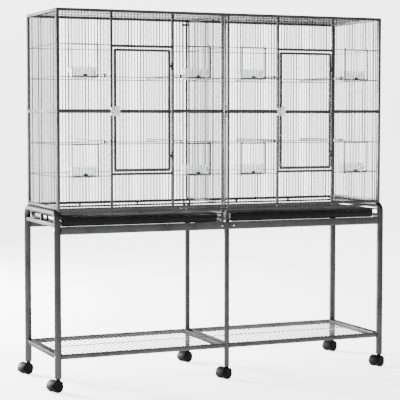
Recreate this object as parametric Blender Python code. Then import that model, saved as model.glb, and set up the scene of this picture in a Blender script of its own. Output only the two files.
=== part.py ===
"""Double flight cage on a rolling stand.

Two wire bays side by side, a slide-out divider between them, a hinged door and four
lift-up feeder doors in each bay, pull-out grilles and trays, and an open stand with six
twin-wheel casters and a wire shelf. Metres, +Z up, the front faces -Y.
"""

import math

import bmesh
import bpy
from mathutils import Matrix, Vector

# ---------------------------------------------------------------- driving dimensions
TUBE = 0.012            # square tube of the cage frames
HALF_W = 0.7853         # cage body, half width
HALF_D = 0.2294         # cage body, half depth
TOP = 1.6285            # top of the cage
WIRE_R = 0.0013         # vertical wires, corner radius of the three-sided bar
PITCH = 0.0140          # wire pitch
ROWS = (1.4785, 1.3404, 1.0540, 0.9165)  # cross wires; the middle one is a tube
MID = 1.1956            # middle rail
BOTTOM = 0.7765         # centre of the panels' bottom rail
BASE = 0.7599           # centre of the lower base rail
# Near and far faces of the stiles beside the divider slot, and centres of the door
# posts, from the middle of the cage: left bay (-1) and right bay (1).
SLOT = {-1: (0.0173, 0.0239), 1: (0.0045, 0.0125)}
SLOT_BACK = {-1: (0.0213, 0.0279), 1: (0.0025, 0.0095)}
SLOT_DEEP = 0.0080
POSTS = {-1: (0.5393, 0.2568), 1: (0.5322, 0.2535)}
DOORS = {-1: (-0.5288, -0.2693), 1: (0.2640, 0.5229)}
POST_HALF = 0.0048
DIVIDER_X = (-0.0097, -0.0037)

DOOR_TUBE = 0.0095
DOOR_Z = (0.9358, 1.4621)
DOOR_MID = 1.1940
HEADER = 1.4738
HEADER_HALF = 0.0046
SILL = 0.9240
SILL_HALF = 0.0042
HINGE_Z = (1.3900, 1.0000)
HINGE_R = 0.0033
HINGE_OUT = 0.0037      # hinge axis in front of the panel's face

FEEDER_W = 0.1190
FEEDER_BAR = 0.0050
CUP = (0.1160, 0.0620, 0.0480)
PERCH_R = 0.0068
PERCH_BODY = 0.2050     # the dowel itself; a slim pin goes on to PERCH_END
PERCH_END = 0.2240
PERCHES_X = (-0.5608, -0.2085, 0.2485, 0.5917)
PERCHES_Z = (1.3487, 1.0623)

LEG_X = 0.7865
LEG_Y = 0.2294
LEG_R = 0.0138
LEG_FOOT = 0.0550
LEG_TOP = 0.7750
BEND_R = 0.0330         # centre-line radius of the bent corners
MID_LEG_R = 0.0106
FORK_X = ((-0.0245, -0.0140), (-0.0030, 0.0130))  # prongs over the centre legs
RAIL_BOLTS = (-0.0280, 0.0290)
RAIL_Z = (0.6710, 0.7048)
SIDE_BAR_Z = (0.7010, 0.7185)
SHELF_Z = (0.1380, 0.1580)
SHELF_PITCH = 0.0220

TRAY_Z = (0.7052, 0.7388)
TRAY_WALL = 0.0016
TRAYS_X = ((-0.7712, -0.0470), (0.0170, 0.7460))
GRILLES_X = {-1: (0.0260, 0.7690), 1: (0.0145, 0.7690)}
GRILLE_Z = (0.7396, 0.7446)

WHEEL_R = 0.0250
WHEEL_SIDES = 14
WHEEL_RIM = WHEEL_R / math.cos(math.pi / WHEEL_SIDES)  # the flats touch the floor
HOOD_R = 0.0285
CASTER_HALF = 0.0275    # half width over both wheels
TRAIL = 0.0165
CASTER_YAW = math.radians(20)

for old in list(bpy.data.objects):
    bpy.data.objects.remove(old, do_unlink=True)

scene = bpy.context.scene
origin_empty = bpy.data.objects.new("cage_origin", None)
scene.collection.objects.link(origin_empty)


# ---------------------------------------------------------------- materials
def material(name, colour, roughness, metallic):
    mat = bpy.data.materials.new(name)
    mat.use_nodes = True
    shader = mat.node_tree.nodes["Principled BSDF"]
    shader.inputs["Base Color"].default_value = (*colour, 1.0)
    shader.inputs["Roughness"].default_value = roughness
    shader.inputs["Metallic"].default_value = metallic
    mat.diffuse_color = (*colour, 1.0)
    return mat


COAT = material("dark_powder_coat", (0.085, 0.087, 0.088), 0.45, 0.55)
BLACK = material("black_plastic", (0.012, 0.012, 0.013), 0.38, 0.0)
CHROME = material("bright_plate", (0.75, 0.75, 0.76), 0.18, 1.0)
WHITE = material("white_plastic", (0.82, 0.83, 0.82), 0.30, 0.0)
DOWEL = material("grey_plastic", (0.23, 0.22, 0.20), 0.70, 0.0)


# ---------------------------------------------------------------- mesh helpers
def add_box(bm, lo, hi):
    """A closed box, corner to corner."""
    lo, hi = Vector(lo), Vector(hi)
    size = hi - lo
    made = bmesh.ops.create_cube(bm, size=1.0)["verts"]
    bmesh.ops.scale(bm, vec=size, verts=made)
    bmesh.ops.translate(bm, vec=(lo + hi) / 2, verts=made)


def add_boxes(bm, boxes):
    """The union of boxes, as the outer skin of the cells of one uneven grid."""
    cuts = [sorted({round(b[side][k], 7) for b in boxes for side in (0, 1)}) for k in range(3)]
    spans = []
    for lo, hi in boxes:
        spans.append(
            tuple((cuts[k].index(round(lo[k], 7)), cuts[k].index(round(hi[k], 7))) for k in range(3))
        )
    full = set()
    for (x0, x1), (y0, y1), (z0, z1) in spans:
        full.update((i, j, k) for i in range(x0, x1) for j in range(y0, y1) for k in range(z0, z1))
    corners = {}

    def corner(i, j, k):
        if (i, j, k) not in corners:
            corners[i, j, k] = bm.verts.new((cuts[0][i], cuts[1][j], cuts[2][k]))
        return corners[i, j, k]

    for i, j, k in sorted(full):
        sides = (
            ((-1, 0, 0), ((0, 0, 0), (0, 0, 1), (0, 1, 1), (0, 1, 0))),
            ((1, 0, 0), ((1, 0, 0), (1, 1, 0), (1, 1, 1), (1, 0, 1))),
            ((0, -1, 0), ((0, 0, 0), (1, 0, 0), (1, 0, 1), (0, 0, 1))),
            ((0, 1, 0), ((0, 1, 0), (0, 1, 1), (1, 1, 1), (1, 1, 0))),
            ((0, 0, -1), ((0, 0, 0), (0, 1, 0), (1, 1, 0), (1, 0, 0))),
            ((0, 0, 1), ((0, 0, 1), (1, 0, 1), (1, 1, 1), (0, 1, 1))),
        )
        for (a, b, c), ring in sides:
            if (i + a, j + b, k + c) not in full:
                bm.faces.new([corner(i + p, j + q, k + r) for p, q, r in ring])


def add_bar(bm, start, end, radius, sides=3, turn=0.0, taper=1.0):
    """A straight bar of the given number of sides, with closed ends."""
    start, end = Vector(start), Vector(end)
    axis = (end - start).normalized()
    side = Vector((0, 0, 1)) if abs(axis.z) < 0.9 else Vector((0, 1, 0))
    u = (side - side.dot(axis) * axis).normalized()
    v = axis.cross(u)
    rings = []
    for centre, scale in ((start, 1.0), (end, taper)):
        ring = []
        for n in range(sides):
            a = turn + 2 * math.pi * n / sides
            ring.append(bm.verts.new(centre + scale * radius * (math.cos(a) * u + math.sin(a) * v)))
        rings.append(ring)
    for n in range(sides):
        m = (n + 1) % sides
        bm.faces.new((rings[0][n], rings[0][m], rings[1][m], rings[1][n]))
    bm.faces.new(list(reversed(rings[0])))
    bm.faces.new(rings[1])


def add_tube_path(bm, points, radius, sides=12):
    """A solid round bar along a flat path in a plane of constant X."""
    points = [Vector(p) for p in points]
    rings = []
    for n, p in enumerate(points):
        before = points[n] - points[n - 1] if n else points[1] - points[0]
        after = points[n + 1] - points[n] if n + 1 < len(points) else before
        tangent = (before.normalized() + after.normalized()).normalized()
        stretch = 1.0 / max(0.5, tangent.dot(after.normalized()))
        u = Vector((1, 0, 0))
        v = tangent.cross(u).normalized()
        rings.append(
            [
                bm.verts.new(
                    p
                    + radius * math.cos(2 * math.pi * k / sides) * u
                    + radius * stretch * math.sin(2 * math.pi * k / sides) * v
                )
                for k in range(sides)
            ]
        )
    for a, b in zip(rings, rings[1:]):
        for k in range(sides):
            m = (k + 1) % sides
            bm.faces.new((a[k], a[m], b[m], b[k]))
    bm.faces.new(list(reversed(rings[0])))
    bm.faces.new(rings[-1])


def add_extrusion(bm, outline, holes, depth, frame):
    """A flat outline with holes, extruded both ways from the middle plane of frame."""
    front, back = [], []
    for ring in [outline] + holes:
        front.append([bm.verts.new(frame @ Vector((x, y, depth / 2))) for x, y in ring])
        back.append([bm.verts.new(frame @ Vector((x, y, -depth / 2))) for x, y in ring])
    for a, b in zip(front, back):
        count = len(a)
        for n in range(count):
            m = (n + 1) % count
            bm.faces.new((a[n], b[n], b[m], a[m]))
    for rings in (front, back):
        edges = []
        for ring in rings:
            for n in range(len(ring)):
                edges.append(bm.edges.get((ring[n], ring[(n + 1) % len(ring)])))
        bmesh.ops.triangle_fill(bm, edges=edges, use_beauty=True)


def add_turned(bm, profile, frame, sides=16):
    """A turned shape: profile points are (radius, height), the first and last on the axis."""
    rings = []
    for radius, height in profile:
        if radius == 0:
            rings.append([bm.verts.new(frame @ Vector((0, 0, height)))])
            continue
        rings.append(
            [
                bm.verts.new(
                    frame
                    @ Vector(
                        (
                            radius * math.cos(2 * math.pi * n / sides),
                            radius * math.sin(2 * math.pi * n / sides),
                            height,
                        )
                    )
                )
                for n in range(sides)
            ]
        )
    for a, b in zip(rings, rings[1:]):
        for n in range(sides):
            m = (n + 1) % sides
            if len(a) == 1:
                bm.faces.new((a[0], b[m], b[n]))
            elif len(b) == 1:
                bm.faces.new((a[n], a[m], b[0]))
            else:
                bm.faces.new((a[n], a[m], b[m], b[n]))


def mesh_object(name, bm, mat, pivot=(0.0, 0.0, 0.0), smooth=False, helper=False):
    pivot = Vector(pivot)
    bmesh.ops.recalc_face_normals(bm, faces=bm.faces)
    mesh = bpy.data.meshes.new(name)
    bmesh.ops.translate(bm, vec=-pivot, verts=bm.verts)
    bm.to_mesh(mesh)
    bm.free()
    mesh.materials.append(mat)
    obj = bpy.data.objects.new(name, mesh)
    scene.collection.objects.link(obj)
    obj.parent = origin_empty
    obj.location = pivot
    if smooth:
        mesh.shade_smooth()
        mesh.set_sharp_from_angle(angle=math.radians(35))
    if helper:
        obj.hide_render = True
        obj.display_type = "WIRE"
    return obj


def unite(obj, bm, name, cut=False):
    """Joins (or cuts) the bodies in bm to obj with an exact Boolean."""
    helper = mesh_object(name, bm, obj.data.materials[0], obj.location, helper=True)
    modifier = obj.modifiers.new(name, "BOOLEAN")
    modifier.operation = "DIFFERENCE" if cut else "UNION"
    modifier.solver = "EXACT"
    modifier.object = helper
    return helper


def wire_places(lo, hi, pitch=PITCH):
    """Even places for wires between two tube faces, near the wanted pitch."""
    gaps = max(1, round((hi - lo) / pitch))
    return [lo + (hi - lo) * n / gaps for n in range(1, gaps)]


# ---------------------------------------------------------------- cage walls
HALF_T = TUBE / 2
FRONT_Y = -HALF_D + HALF_T       # middle plane of the front panel's tubes
BACK_Y = HALF_D - HALF_T
CORNER_X = HALF_W - HALF_T
MEET = 0.0003                    # the two bays' rails meet above and below the slot
BOT0, BOT1 = BOTTOM - HALF_T, BOTTOM + HALF_T
BASE0, BASE1 = BASE - 0.0040, BASE + 0.0040
TOP0 = TOP - TUBE
MID0, MID1 = MID - HALF_T, MID + HALF_T
WIRE_OUT = 0.0030                # upright wires stand out from the middle of the tubes
CLEAR = WIRE_OUT - WIRE_R - 0.0003  # rails and cross wires begin behind them
ROW = 0.0024                     # cross wires
EMBED = 0.0040


def row_span(z):
    return z - ROW / 2, z + ROW / 2


def xbox(sign, x0, x1, y0, y1, z0, z1):
    """A box whose X range is mirrored to the wanted side."""
    a, b = sorted((sign * x0, sign * x1))
    return ((a, y0, z0), (b, y1, z1))


def base_boxes(sign, y0, y1):
    """Lower base rail with the short struts that carry the panel."""
    boxes = [xbox(sign, MEET, 0.7720, y0, y1, BASE0, BASE1)]
    boxes.append(xbox(sign, *SLOT[sign], y0, y1, BASE1, BOT0))
    for x in POSTS[sign]:
        boxes.append(xbox(sign, x - 0.004, x + 0.004, y0, y1, BASE1, BOT0))
    boxes.append(xbox(sign, 0.7620, 0.7700, y0, y1, BASE1, BOT0))
    return boxes


def feeder_centres(sign):
    outer = (POSTS[sign][0] + POST_HALF + HALF_W - TUBE) / 2
    inner = (POSTS[sign][1] - POST_HALF + SLOT[sign][1]) / 2
    return (sign * outer, sign * inner)


FEEDERS = {}


def front_panel(side, sign):
    name = "front_panel_" + side
    y0, y1 = FRONT_Y - HALF_T, FRONT_Y + HALF_T
    boxes = [
        xbox(sign, HALF_W - TUBE, HALF_W, y0, y1, BOT0, TOP),
        xbox(sign, *SLOT[sign], y0, y0 + SLOT_DEEP, BOT0, TOP),
        xbox(sign, MEET, HALF_W - TUBE, y0, y1, TOP0, TOP),
        xbox(sign, MEET, HALF_W - TUBE, y0, y1, BOT0, BOT1),
        xbox(sign, POSTS[sign][0] - POST_HALF, POSTS[sign][0] + POST_HALF, y0, y1, BOT1, TOP0),
        xbox(sign, POSTS[sign][1] - POST_HALF, POSTS[sign][1] + POST_HALF, y0, y1, BOT1, TOP0),
        xbox(sign, POSTS[sign][0] + POST_HALF, HALF_W - TUBE, FRONT_Y - CLEAR, y1, MID0, MID1),
        xbox(sign, SLOT[sign][1], POSTS[sign][1] - POST_HALF, FRONT_Y - CLEAR, y1, MID0, MID1),
        xbox(sign, *SLOT[sign], y0 + SLOT_DEEP, y1, MID0, MID1),
        xbox(sign, POSTS[sign][1] + POST_HALF, POSTS[sign][0] - POST_HALF, FRONT_Y - 0.0045, FRONT_Y + 0.0045, HEADER - HEADER_HALF, HEADER + HEADER_HALF),
        xbox(sign, POSTS[sign][1] + POST_HALF, POSTS[sign][0] - POST_HALF, FRONT_Y - 0.0045, FRONT_Y + 0.0045, SILL - SILL_HALF, SILL + SILL_HALF),
    ]
    boxes += base_boxes(sign, y0, y1)
    wire_y = FRONT_Y - WIRE_OUT
    feeders = feeder_centres(sign)
    margins = (
        (POSTS[sign][0] + POST_HALF, HALF_W - TUBE),
        (SLOT[sign][1], POSTS[sign][1] - POST_HALF),
    )
    short_wires = []
    long_wires = []
    for (m0, m1), feeder in zip(margins, feeders):
        short = []
        for x in wire_places(m0, m1):
            if abs(sign * x - feeder) < FEEDER_W / 2 - 0.004:
                short.append(x)
            else:
                long_wires.append(sign * x)
        short_wires += [sign * x for x in short]
        for z in ROWS:
            # Cross wires lie behind the long wires and come forward to hold the short ones.
            boxes.append(xbox(sign, m0, m1, FRONT_Y - CLEAR, FRONT_Y + 0.0010, *row_span(z)))
            boxes.append(xbox(sign, short[0] - 0.0030, short[-1] + 0.0030, wire_y - 0.0016, FRONT_Y - CLEAR, *row_span(z)))
    bm = bmesh.new()
    add_boxes(bm, boxes)
    panel = mesh_object(name, bm, COAT)

    bm = bmesh.new()
    for x in long_wires:
        add_bar(bm, (x, wire_y, BOT1 - EMBED), (x, wire_y, TOP0 + EMBED), WIRE_R)
    for x in short_wires:
        # The wires stop at the cross wires above and below each feeder opening.
        for z0, z1 in ((ROWS[0], TOP0 + EMBED), (ROWS[2], ROWS[1]), (BOT1 - EMBED, ROWS[3])):
            add_bar(bm, (x, wire_y, z0), (x, wire_y, z1), WIRE_R)
    for x in wire_places(POSTS[sign][1] + POST_HALF, POSTS[sign][0] - POST_HALF):
        x *= sign
        add_bar(bm, (x, FRONT_Y, HEADER), (x, FRONT_Y, TOP0 + EMBED), WIRE_R)
        add_bar(bm, (x, FRONT_Y, BOT1 - EMBED), (x, FRONT_Y, SILL), WIRE_R)
    unite(panel, bm, name + "_wires")

    # Hinge knuckles on the right post and the open keeper on the left one, as seen from the front.
    hinge_x, latch_post = hinge_line(sign), door_posts(sign)[0]
    bm = bmesh.new()
    axis_y = -HALF_D - HINGE_OUT
    for z in HINGE_Z:
        for z0, z1 in ((z - 0.0160, z - 0.0063), (z + 0.0063, z + 0.0160)):
            add_bar(bm, (hinge_x, axis_y, z0), (hinge_x, axis_y, z1), HINGE_R, 8, math.pi / 8)
    unite(panel, bm, name + "_knuckles")
    bm = bmesh.new()
    for z in HINGE_Z:
        for z0, z1 in ((z - 0.0155, z - 0.0068), (z + 0.0068, z + 0.0155)):
            add_box(bm, (hinge_x + 0.0010, axis_y - 0.0008, z0), (hinge_x + 0.0100, -HALF_D + 0.0030, z1))
    unite(panel, bm, name + "_leaves")
    bm = bmesh.new()
    for s in (-1, 1):
        z0, z1 = sorted((DOOR_MID + s * 0.0065, DOOR_MID + s * 0.0120))
        add_box(bm, (latch_post - 0.0050, -HALF_D - 0.0055, z0), (latch_post + 0.0050, -HALF_D + 0.0030, z1))
    unite(panel, bm, name + "_keeper")
    return panel


def door_posts(sign):
    """Centres of the left and right door posts of this bay, as seen from the front."""
    return tuple(sorted(sign * x for x in POSTS[sign]))


def door_edges(sign):
    return DOORS[sign]


def hinge_line(sign):
    """Middle of the gap between the door's hinge stile and its post."""
    return (door_edges(sign)[1] + door_posts(sign)[1] - POST_HALF) / 2


def back_panel(side, sign):
    name = "back_panel_" + side
    y0, y1 = BACK_Y - HALF_T, BACK_Y + HALF_T
    boxes = [
        xbox(sign, HALF_W - TUBE, HALF_W, y0, y1, BOT0, TOP),
        xbox(sign, *SLOT_BACK[sign], y1 - SLOT_DEEP, y1, BOT0, TOP),
        xbox(sign, MEET, HALF_W - TUBE, y0, y1, TOP0, TOP),
        xbox(sign, MEET, HALF_W - TUBE, y0, y1, BOT0, BOT1),
        xbox(sign, SLOT_BACK[sign][1], HALF_W - TUBE, y0, BACK_Y + CLEAR, MID0, MID1),
    ]
    boxes += [xbox(sign, SLOT_BACK[sign][1], HALF_W - TUBE, BACK_Y - 0.0010, BACK_Y + CLEAR, *row_span(z)) for z in ROWS]
    boxes += base_boxes(sign, y0, y1)
    if sign < 0:
        # Clip near the top that reaches across the slot behind the other bay's stile.
        boxes.append(((-0.0300, y1, CLIP_Z[0]), (-SLOT_BACK[-1][0], y1 + 0.0050, CLIP_Z[1])))
        boxes.append(((-SLOT_BACK[-1][0], y1 + 0.0005, CLIP_Z[0]), (0.0115, y1 + 0.0050, CLIP_Z[1])))
    bm = bmesh.new()
    add_boxes(bm, boxes)
    panel = mesh_object(name, bm, COAT)
    bm = bmesh.new()
    for x in wire_places(SLOT_BACK[sign][1], HALF_W - TUBE):
        x *= sign
        add_bar(bm, (x, BACK_Y + WIRE_OUT, BOT1 - EMBED), (x, BACK_Y + WIRE_OUT, TOP0 + EMBED), WIRE_R)
    unite(panel, bm, name + "_wires")
    return panel


CLIP_Z = (1.5995, 1.6095)
SIDE_STILE = 0.006
SIDE_Y = HALF_D - TUBE - 0.0003


def side_panel(side, sign):
    name = "side_panel_" + side
    z0 = LEG_TOP + 0.0005
    boxes = [
        xbox(sign, HALF_W - TUBE, HALF_W, -SIDE_Y, -SIDE_Y + SIDE_STILE, z0, TOP),
        xbox(sign, HALF_W - TUBE, HALF_W, SIDE_Y - SIDE_STILE, SIDE_Y, z0, TOP),
        xbox(sign, HALF_W - TUBE, HALF_W, -SIDE_Y + SIDE_STILE, SIDE_Y - SIDE_STILE, z0, z0 + TUBE),
        xbox(sign, HALF_W - TUBE, CORNER_X + CLEAR, -SIDE_Y + SIDE_STILE, SIDE_Y - SIDE_STILE, MID0, MID1),
        xbox(sign, HALF_W - TUBE, HALF_W, -SIDE_Y + SIDE_STILE, SIDE_Y - SIDE_STILE, TOP0, TOP),
    ]
    for z in ROWS:
        boxes.append(xbox(sign, CORNER_X - 0.0010, CORNER_X + CLEAR, -SIDE_Y + SIDE_STILE, SIDE_Y - SIDE_STILE, *row_span(z)))
    bm = bmesh.new()
    add_boxes(bm, boxes)
    panel = mesh_object(name, bm, COAT)
    bm = bmesh.new()
    x = sign * (CORNER_X + WIRE_OUT)
    for y in wire_places(-SIDE_Y + SIDE_STILE, SIDE_Y - SIDE_STILE):
        add_bar(bm, (x, y, z0 + TUBE - EMBED), (x, y, TOP0 + EMBED), WIRE_R)
    unite(panel, bm, name + "_wires")
    return panel


ROOF_Z = (TOP - 0.0105, TOP - 0.0005)


def roof_panel(side, sign):
    name = "roof_panel_" + side
    x0, x1 = MEET + 0.0003, HALF_W - TUBE - 0.0004
    y1 = HALF_D - TUBE - 0.0004
    rail, slim = 0.010, 0.0055
    z0, z1 = ROOF_Z
    z = (z0 + z1) / 2 + 0.0015
    boxes = [
        xbox(sign, x0, x0 + slim, -y1, y1, z0 + 0.0015, z0 + 0.0085),
        xbox(sign, x1 - rail, x1, -y1, y1, z0, z1),
        xbox(sign, x0 + slim, x1 - rail, -y1, -y1 + rail, z0, z1),
        xbox(sign, x0 + slim, x1 - rail, y1 - rail, y1, z0, z1),
    ]
    for y in (-y1 / 3, y1 / 3):
        boxes.append(xbox(sign, x0 + slim, x1 - rail, y - ROW / 2, y + ROW / 2, z - WIRE_R - 0.0027, z - WIRE_R - 0.0003))
    bm = bmesh.new()
    add_boxes(bm, boxes)
    panel = mesh_object(name, bm, COAT)
    bm = bmesh.new()
    for x in wire_places(x0 + slim, x1 - rail):
        x *= sign
        add_bar(bm, (x, -y1 + rail - EMBED, z), (x, y1 - rail + EMBED, z), WIRE_R)
    unite(panel, bm, name + "_wires")
    return panel


def centre_divider():
    x0, x1 = DIVIDER_X
    middle = (x0 + x1) / 2
    z0, z1 = BOT1 + 0.0006, TOP0 - 0.0006
    y1 = HALF_D
    boxes = [
        ((x0, -y1, z0), (x1, -y1 + TUBE, z1)),
        ((x0, y1 - TUBE, z0), (x1, y1, z1)),
        ((x0, -y1 + TUBE, z0), (x1, y1 - TUBE, z0 + 0.0080)),
        ((x0, -y1 + TUBE, MID - 0.0040), (middle + 0.0005, y1 - TUBE, MID + 0.0040)),
        ((x0, -y1 + TUBE, z1 - 0.0045), (x1, y1 - TUBE, z1)),
        # finger pulls on the front stile
        ((middle - 0.003, -y1 - 0.012, MID + 0.020), (middle + 0.003, -y1, MID + 0.026)),
        ((middle - 0.003, -y1 - 0.012, MID - 0.026), (middle + 0.003, -y1, MID - 0.020)),
        ((middle - 0.003, -y1 - 0.016, MID - 0.026), (middle + 0.003, -y1 - 0.012, MID + 0.026)),
    ]
    row_x = middle + 0.0005
    boxes += [((row_x - ROW, -y1 + TUBE, row_span(z)[0]), (row_x, y1 - TUBE, row_span(z)[1])) for z in ROWS]
    bm = bmesh.new()
    add_boxes(bm, boxes)
    panel = mesh_object("centre_divider", bm, COAT)
    bm = bmesh.new()
    wire_x = row_x + WIRE_R + 0.0003
    for y in wire_places(-y1 + TUBE, y1 - TUBE):
        add_bar(bm, (wire_x, y, z0 + 0.0080 - EMBED), (wire_x, y, z1 - 0.0020), WIRE_R)
    unite(panel, bm, "centre_divider_wires")
    return panel


# ---------------------------------------------------------------- doors, latches, feeders
def main_door(side, sign):
    name = "main_door_" + side
    left, right = door_edges(sign)
    y0, y1 = FRONT_Y - HALF_T, FRONT_Y + HALF_T
    z0, z1 = DOOR_Z
    mid0, mid1 = DOOR_MID - HALF_T, DOOR_MID + HALF_T
    boxes = [
        ((left, y0, z0), (left + DOOR_TUBE, y1, z1)),
        ((right - DOOR_TUBE, y0, z0), (right, y1, z1)),
        ((left + DOOR_TUBE, y0, z0), (right - DOOR_TUBE, y1, z0 + DOOR_TUBE)),
        ((left + DOOR_TUBE, y0, z1 - DOOR_TUBE), (right - DOOR_TUBE, y1, z1)),
        ((left + DOOR_TUBE, FRONT_Y - CLEAR, mid0), (right - DOOR_TUBE, y1, mid1)),
    ]
    for z in ROWS[1:3]:
        boxes.append(((left + DOOR_TUBE, FRONT_Y - CLEAR, row_span(z)[0]), (right - DOOR_TUBE, FRONT_Y + 0.0010, row_span(z)[1])))
    bm = bmesh.new()
    add_boxes(bm, boxes)
    hinge_x, axis_y = hinge_line(sign), -HALF_D - HINGE_OUT
    door = mesh_object(name, bm, COAT, (hinge_x, axis_y, 0.0))
    bm = bmesh.new()
    for x in wire_places(left + DOOR_TUBE, right - DOOR_TUBE):
        add_bar(bm, (x, FRONT_Y - WIRE_OUT, z0 + DOOR_TUBE - EMBED), (x, FRONT_Y - WIRE_OUT, z1 - DOOR_TUBE + EMBED), WIRE_R)
    unite(door, bm, name + "_wires")
    bm = bmesh.new()
    for z in HINGE_Z:
        add_bar(bm, (hinge_x, axis_y, z - 0.0060), (hinge_x, axis_y, z + 0.0060), HINGE_R, 8, math.pi / 8)
    unite(door, bm, name + "_knuckles")
    bm = bmesh.new()
    for z in HINGE_Z:
        add_box(bm, (right - 0.0100, axis_y - 0.0008, z - 0.0055), (hinge_x - 0.0010, -HALF_D + 0.0030, z + 0.0055))
    unite(door, bm, name + "_leaves")
    return door


def door_latch(side, sign):
    """Sliding latch on the free stile: a rounded plate with a thumb piece and a tongue."""
    name = "door_latch_" + side
    left, _ = door_edges(sign)
    post = door_posts(sign)[0]
    face = -HALF_D - 0.0003
    bm = bmesh.new()
    x0, x1 = left + 0.0010, left + 0.0250
    z0, z1 = DOOR_MID - 0.0225, DOOR_MID + 0.0225
    r, ring = 0.0080, []
    for cx, cz, a0 in (
        (x1 - r, z1 - r, 0.0),
        (x0 + r, z1 - r, 90.0),
        (x0 + r, z0 + r, 180.0),
        (x1 - r, z0 + r, 270.0),
    ):
        for n in range(4):
            a = math.radians(a0 + 30 * n)
            ring.append((cx + r * math.cos(a), cz + r * math.sin(a)))
    # Local X and Y of the outline run along world X and Z, its depth along -Y.
    turn = Matrix(((1, 0, 0, 0), (0, 0, -1, face - 0.0015), (0, 1, 0, 0), (0, 0, 0, 1)))
    add_extrusion(bm, ring, [], 0.0030, turn)
    latch = mesh_object(name, bm, CHROME, (post, face, DOOR_MID))
    bm = bmesh.new()
    add_box(bm, (post - 0.0060, face - 0.0028, DOOR_MID - 0.0045), (x0 + 0.0100, face - 0.0003, DOOR_MID + 0.0045))
    unite(latch, bm, name + "_tongue")
    bm = bmesh.new()
    add_box(bm, (x0 + 0.0095, face - 0.0100, DOOR_MID - 0.0180), (x0 + 0.0145, face - 0.0020, DOOR_MID - 0.0030))
    unite(latch, bm, name + "_thumb")
    return latch


def feeder_door(side, where, level, centre, z0, z1):
    """Lift-up door of a feeder opening: two bars, two end uprights and thin wires."""
    name = "feeder_door_%s_%s_%s" % (side, where, level)
    a, b = centre - FEEDER_W / 2, centre + FEEDER_W / 2
    y1 = FRONT_Y - WIRE_OUT - WIRE_R - 0.0004
    y0 = y1 - 0.0028
    lo, hi = z0 - 0.0020, z1 + 0.0020
    boxes = [
        ((a, y0, lo), (b, y1, lo + FEEDER_BAR)),
        ((a, y0, hi - 0.0040), (b, y1, hi)),
        ((a, y0, lo + FEEDER_BAR), (a + 0.0030, y1, hi - 0.0040)),
        ((b - 0.0030, y0, lo + FEEDER_BAR), (b, y1, hi - 0.0040)),
    ]
    bm = bmesh.new()
    add_boxes(bm, boxes)
    door = mesh_object(name, bm, COAT, (centre, (y0 + y1) / 2, lo))
    bm = bmesh.new()
    for x in wire_places(a + 0.0030, b - 0.0030):
        add_bar(bm, (x, (y0 + y1) / 2, lo + FEEDER_BAR - 0.002), (x, (y0 + y1) / 2, hi - 0.002), 0.0011)
    unite(door, bm, name + "_wires")
    return door


def feeder_cup(side, where, level, centre, z0):
    """Open plastic feeder cup that stands behind its feeder opening."""
    name = "feeder_cup_%s_%s_%s" % (side, where, level)
    w, d, h = CUP
    wall = 0.0022
    y0 = -HALF_D + TUBE + 0.0012
    lo, hi = Vector((centre - w / 2, y0, z0)), Vector((centre + w / 2, y0 + d, z0 + h))
    bm = bmesh.new()
    outer = [(lo.x, lo.y), (hi.x, lo.y), (hi.x, hi.y), (lo.x, hi.y)]
    foot = 0.010
    low = [bm.verts.new((x + (foot if x < centre else -foot) * 0.5, y + (0 if y < y0 + d / 2 else -foot), z0)) for x, y in outer]
    high = [bm.verts.new((x, y, z0 + h)) for x, y in outer]
    rim = [bm.verts.new((x + (wall if x < centre else -wall), y + (wall if y < y0 + d / 2 else -wall), z0 + h)) for x, y in outer]
    deep = [
        bm.verts.new(
            (
                x + (foot * 0.5 + wall if x < centre else -foot * 0.5 - wall),
                y + (wall if y < y0 + d / 2 else -foot - wall),
                z0 + wall,
            )
        )
        for x, y in outer
    ]
    for n in range(4):
        m = (n + 1) % 4
        bm.faces.new((low[n], low[m], high[m], high[n]))
        bm.faces.new((high[n], high[m], rim[m], rim[n]))
        bm.faces.new((rim[n], rim[m], deep[m], deep[n]))
    bm.faces.new(list(reversed(low)))
    bm.faces.new(deep)
    cup = mesh_object(name, bm, WHITE, (centre, y0, z0))
    # Ledge that hangs over the cross wire below the opening.
    bm = bmesh.new()
    add_box(bm, (centre - 0.0300, -HALF_D + 0.0054, z0 + 0.0082), (centre + 0.0300, y0 + wall / 2, z0 + 0.0102))
    unite(cup, bm, name + "_ledge")
    return cup


def perch(name, x, z):
    """Dowel with a slim pin at each end that reaches to the wires, or to the door post."""
    frame = Matrix.Translation((x, 0, z)) @ Matrix.Rotation(math.radians(90), 4, "X")
    posts = [sign * post for sign in POSTS for post in POSTS[sign]]
    front = HALF_D - TUBE - 0.0006 if min(abs(x - post) for post in posts) < POST_HALF + 0.004 else PERCH_END
    profile = []
    for s, end in ((-1, PERCH_END), (1, front)):
        half = [(PERCH_R, s * PERCH_BODY), (0.0028, s * PERCH_BODY), (0.0028, s * end), (0.0, s * end)]
        profile += half if s > 0 else list(reversed(half))
    bm = bmesh.new()
    add_turned(bm, profile, frame, 10)
    return mesh_object(name, bm, DOWEL, (x, 0.0, z), smooth=True)


# ---------------------------------------------------------------- trays and grilles
def tray(side, x0, x1):
    z0, z1 = TRAY_Z
    y0, y1 = -LEG_Y - 0.0100, LEG_Y + 0.0090
    t = TRAY_WALL
    boxes = [
        ((x0, y0, z0), (x1, y1, z0 + t)),
        ((x0, y0, z0 + t), (x1, y0 + t, z1)),
        ((x0, y1 - t, z0 + t), (x1, y1, z1)),
        ((x0, y0 + t, z0 + t), (x0 + t, y1 - t, z1)),
        ((x1 - t, y0 + t, z0 + t), (x1, y1 - t, z1)),
        # rolled front lip
        ((x0, y0 - 0.0040, z1 - 0.0060), (x1, y0, z1)),
    ]
    bm = bmesh.new()
    add_boxes(bm, boxes)
    return mesh_object("tray_" + side, bm, BLACK, ((x0 + x1) / 2, y0, z0))


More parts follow.
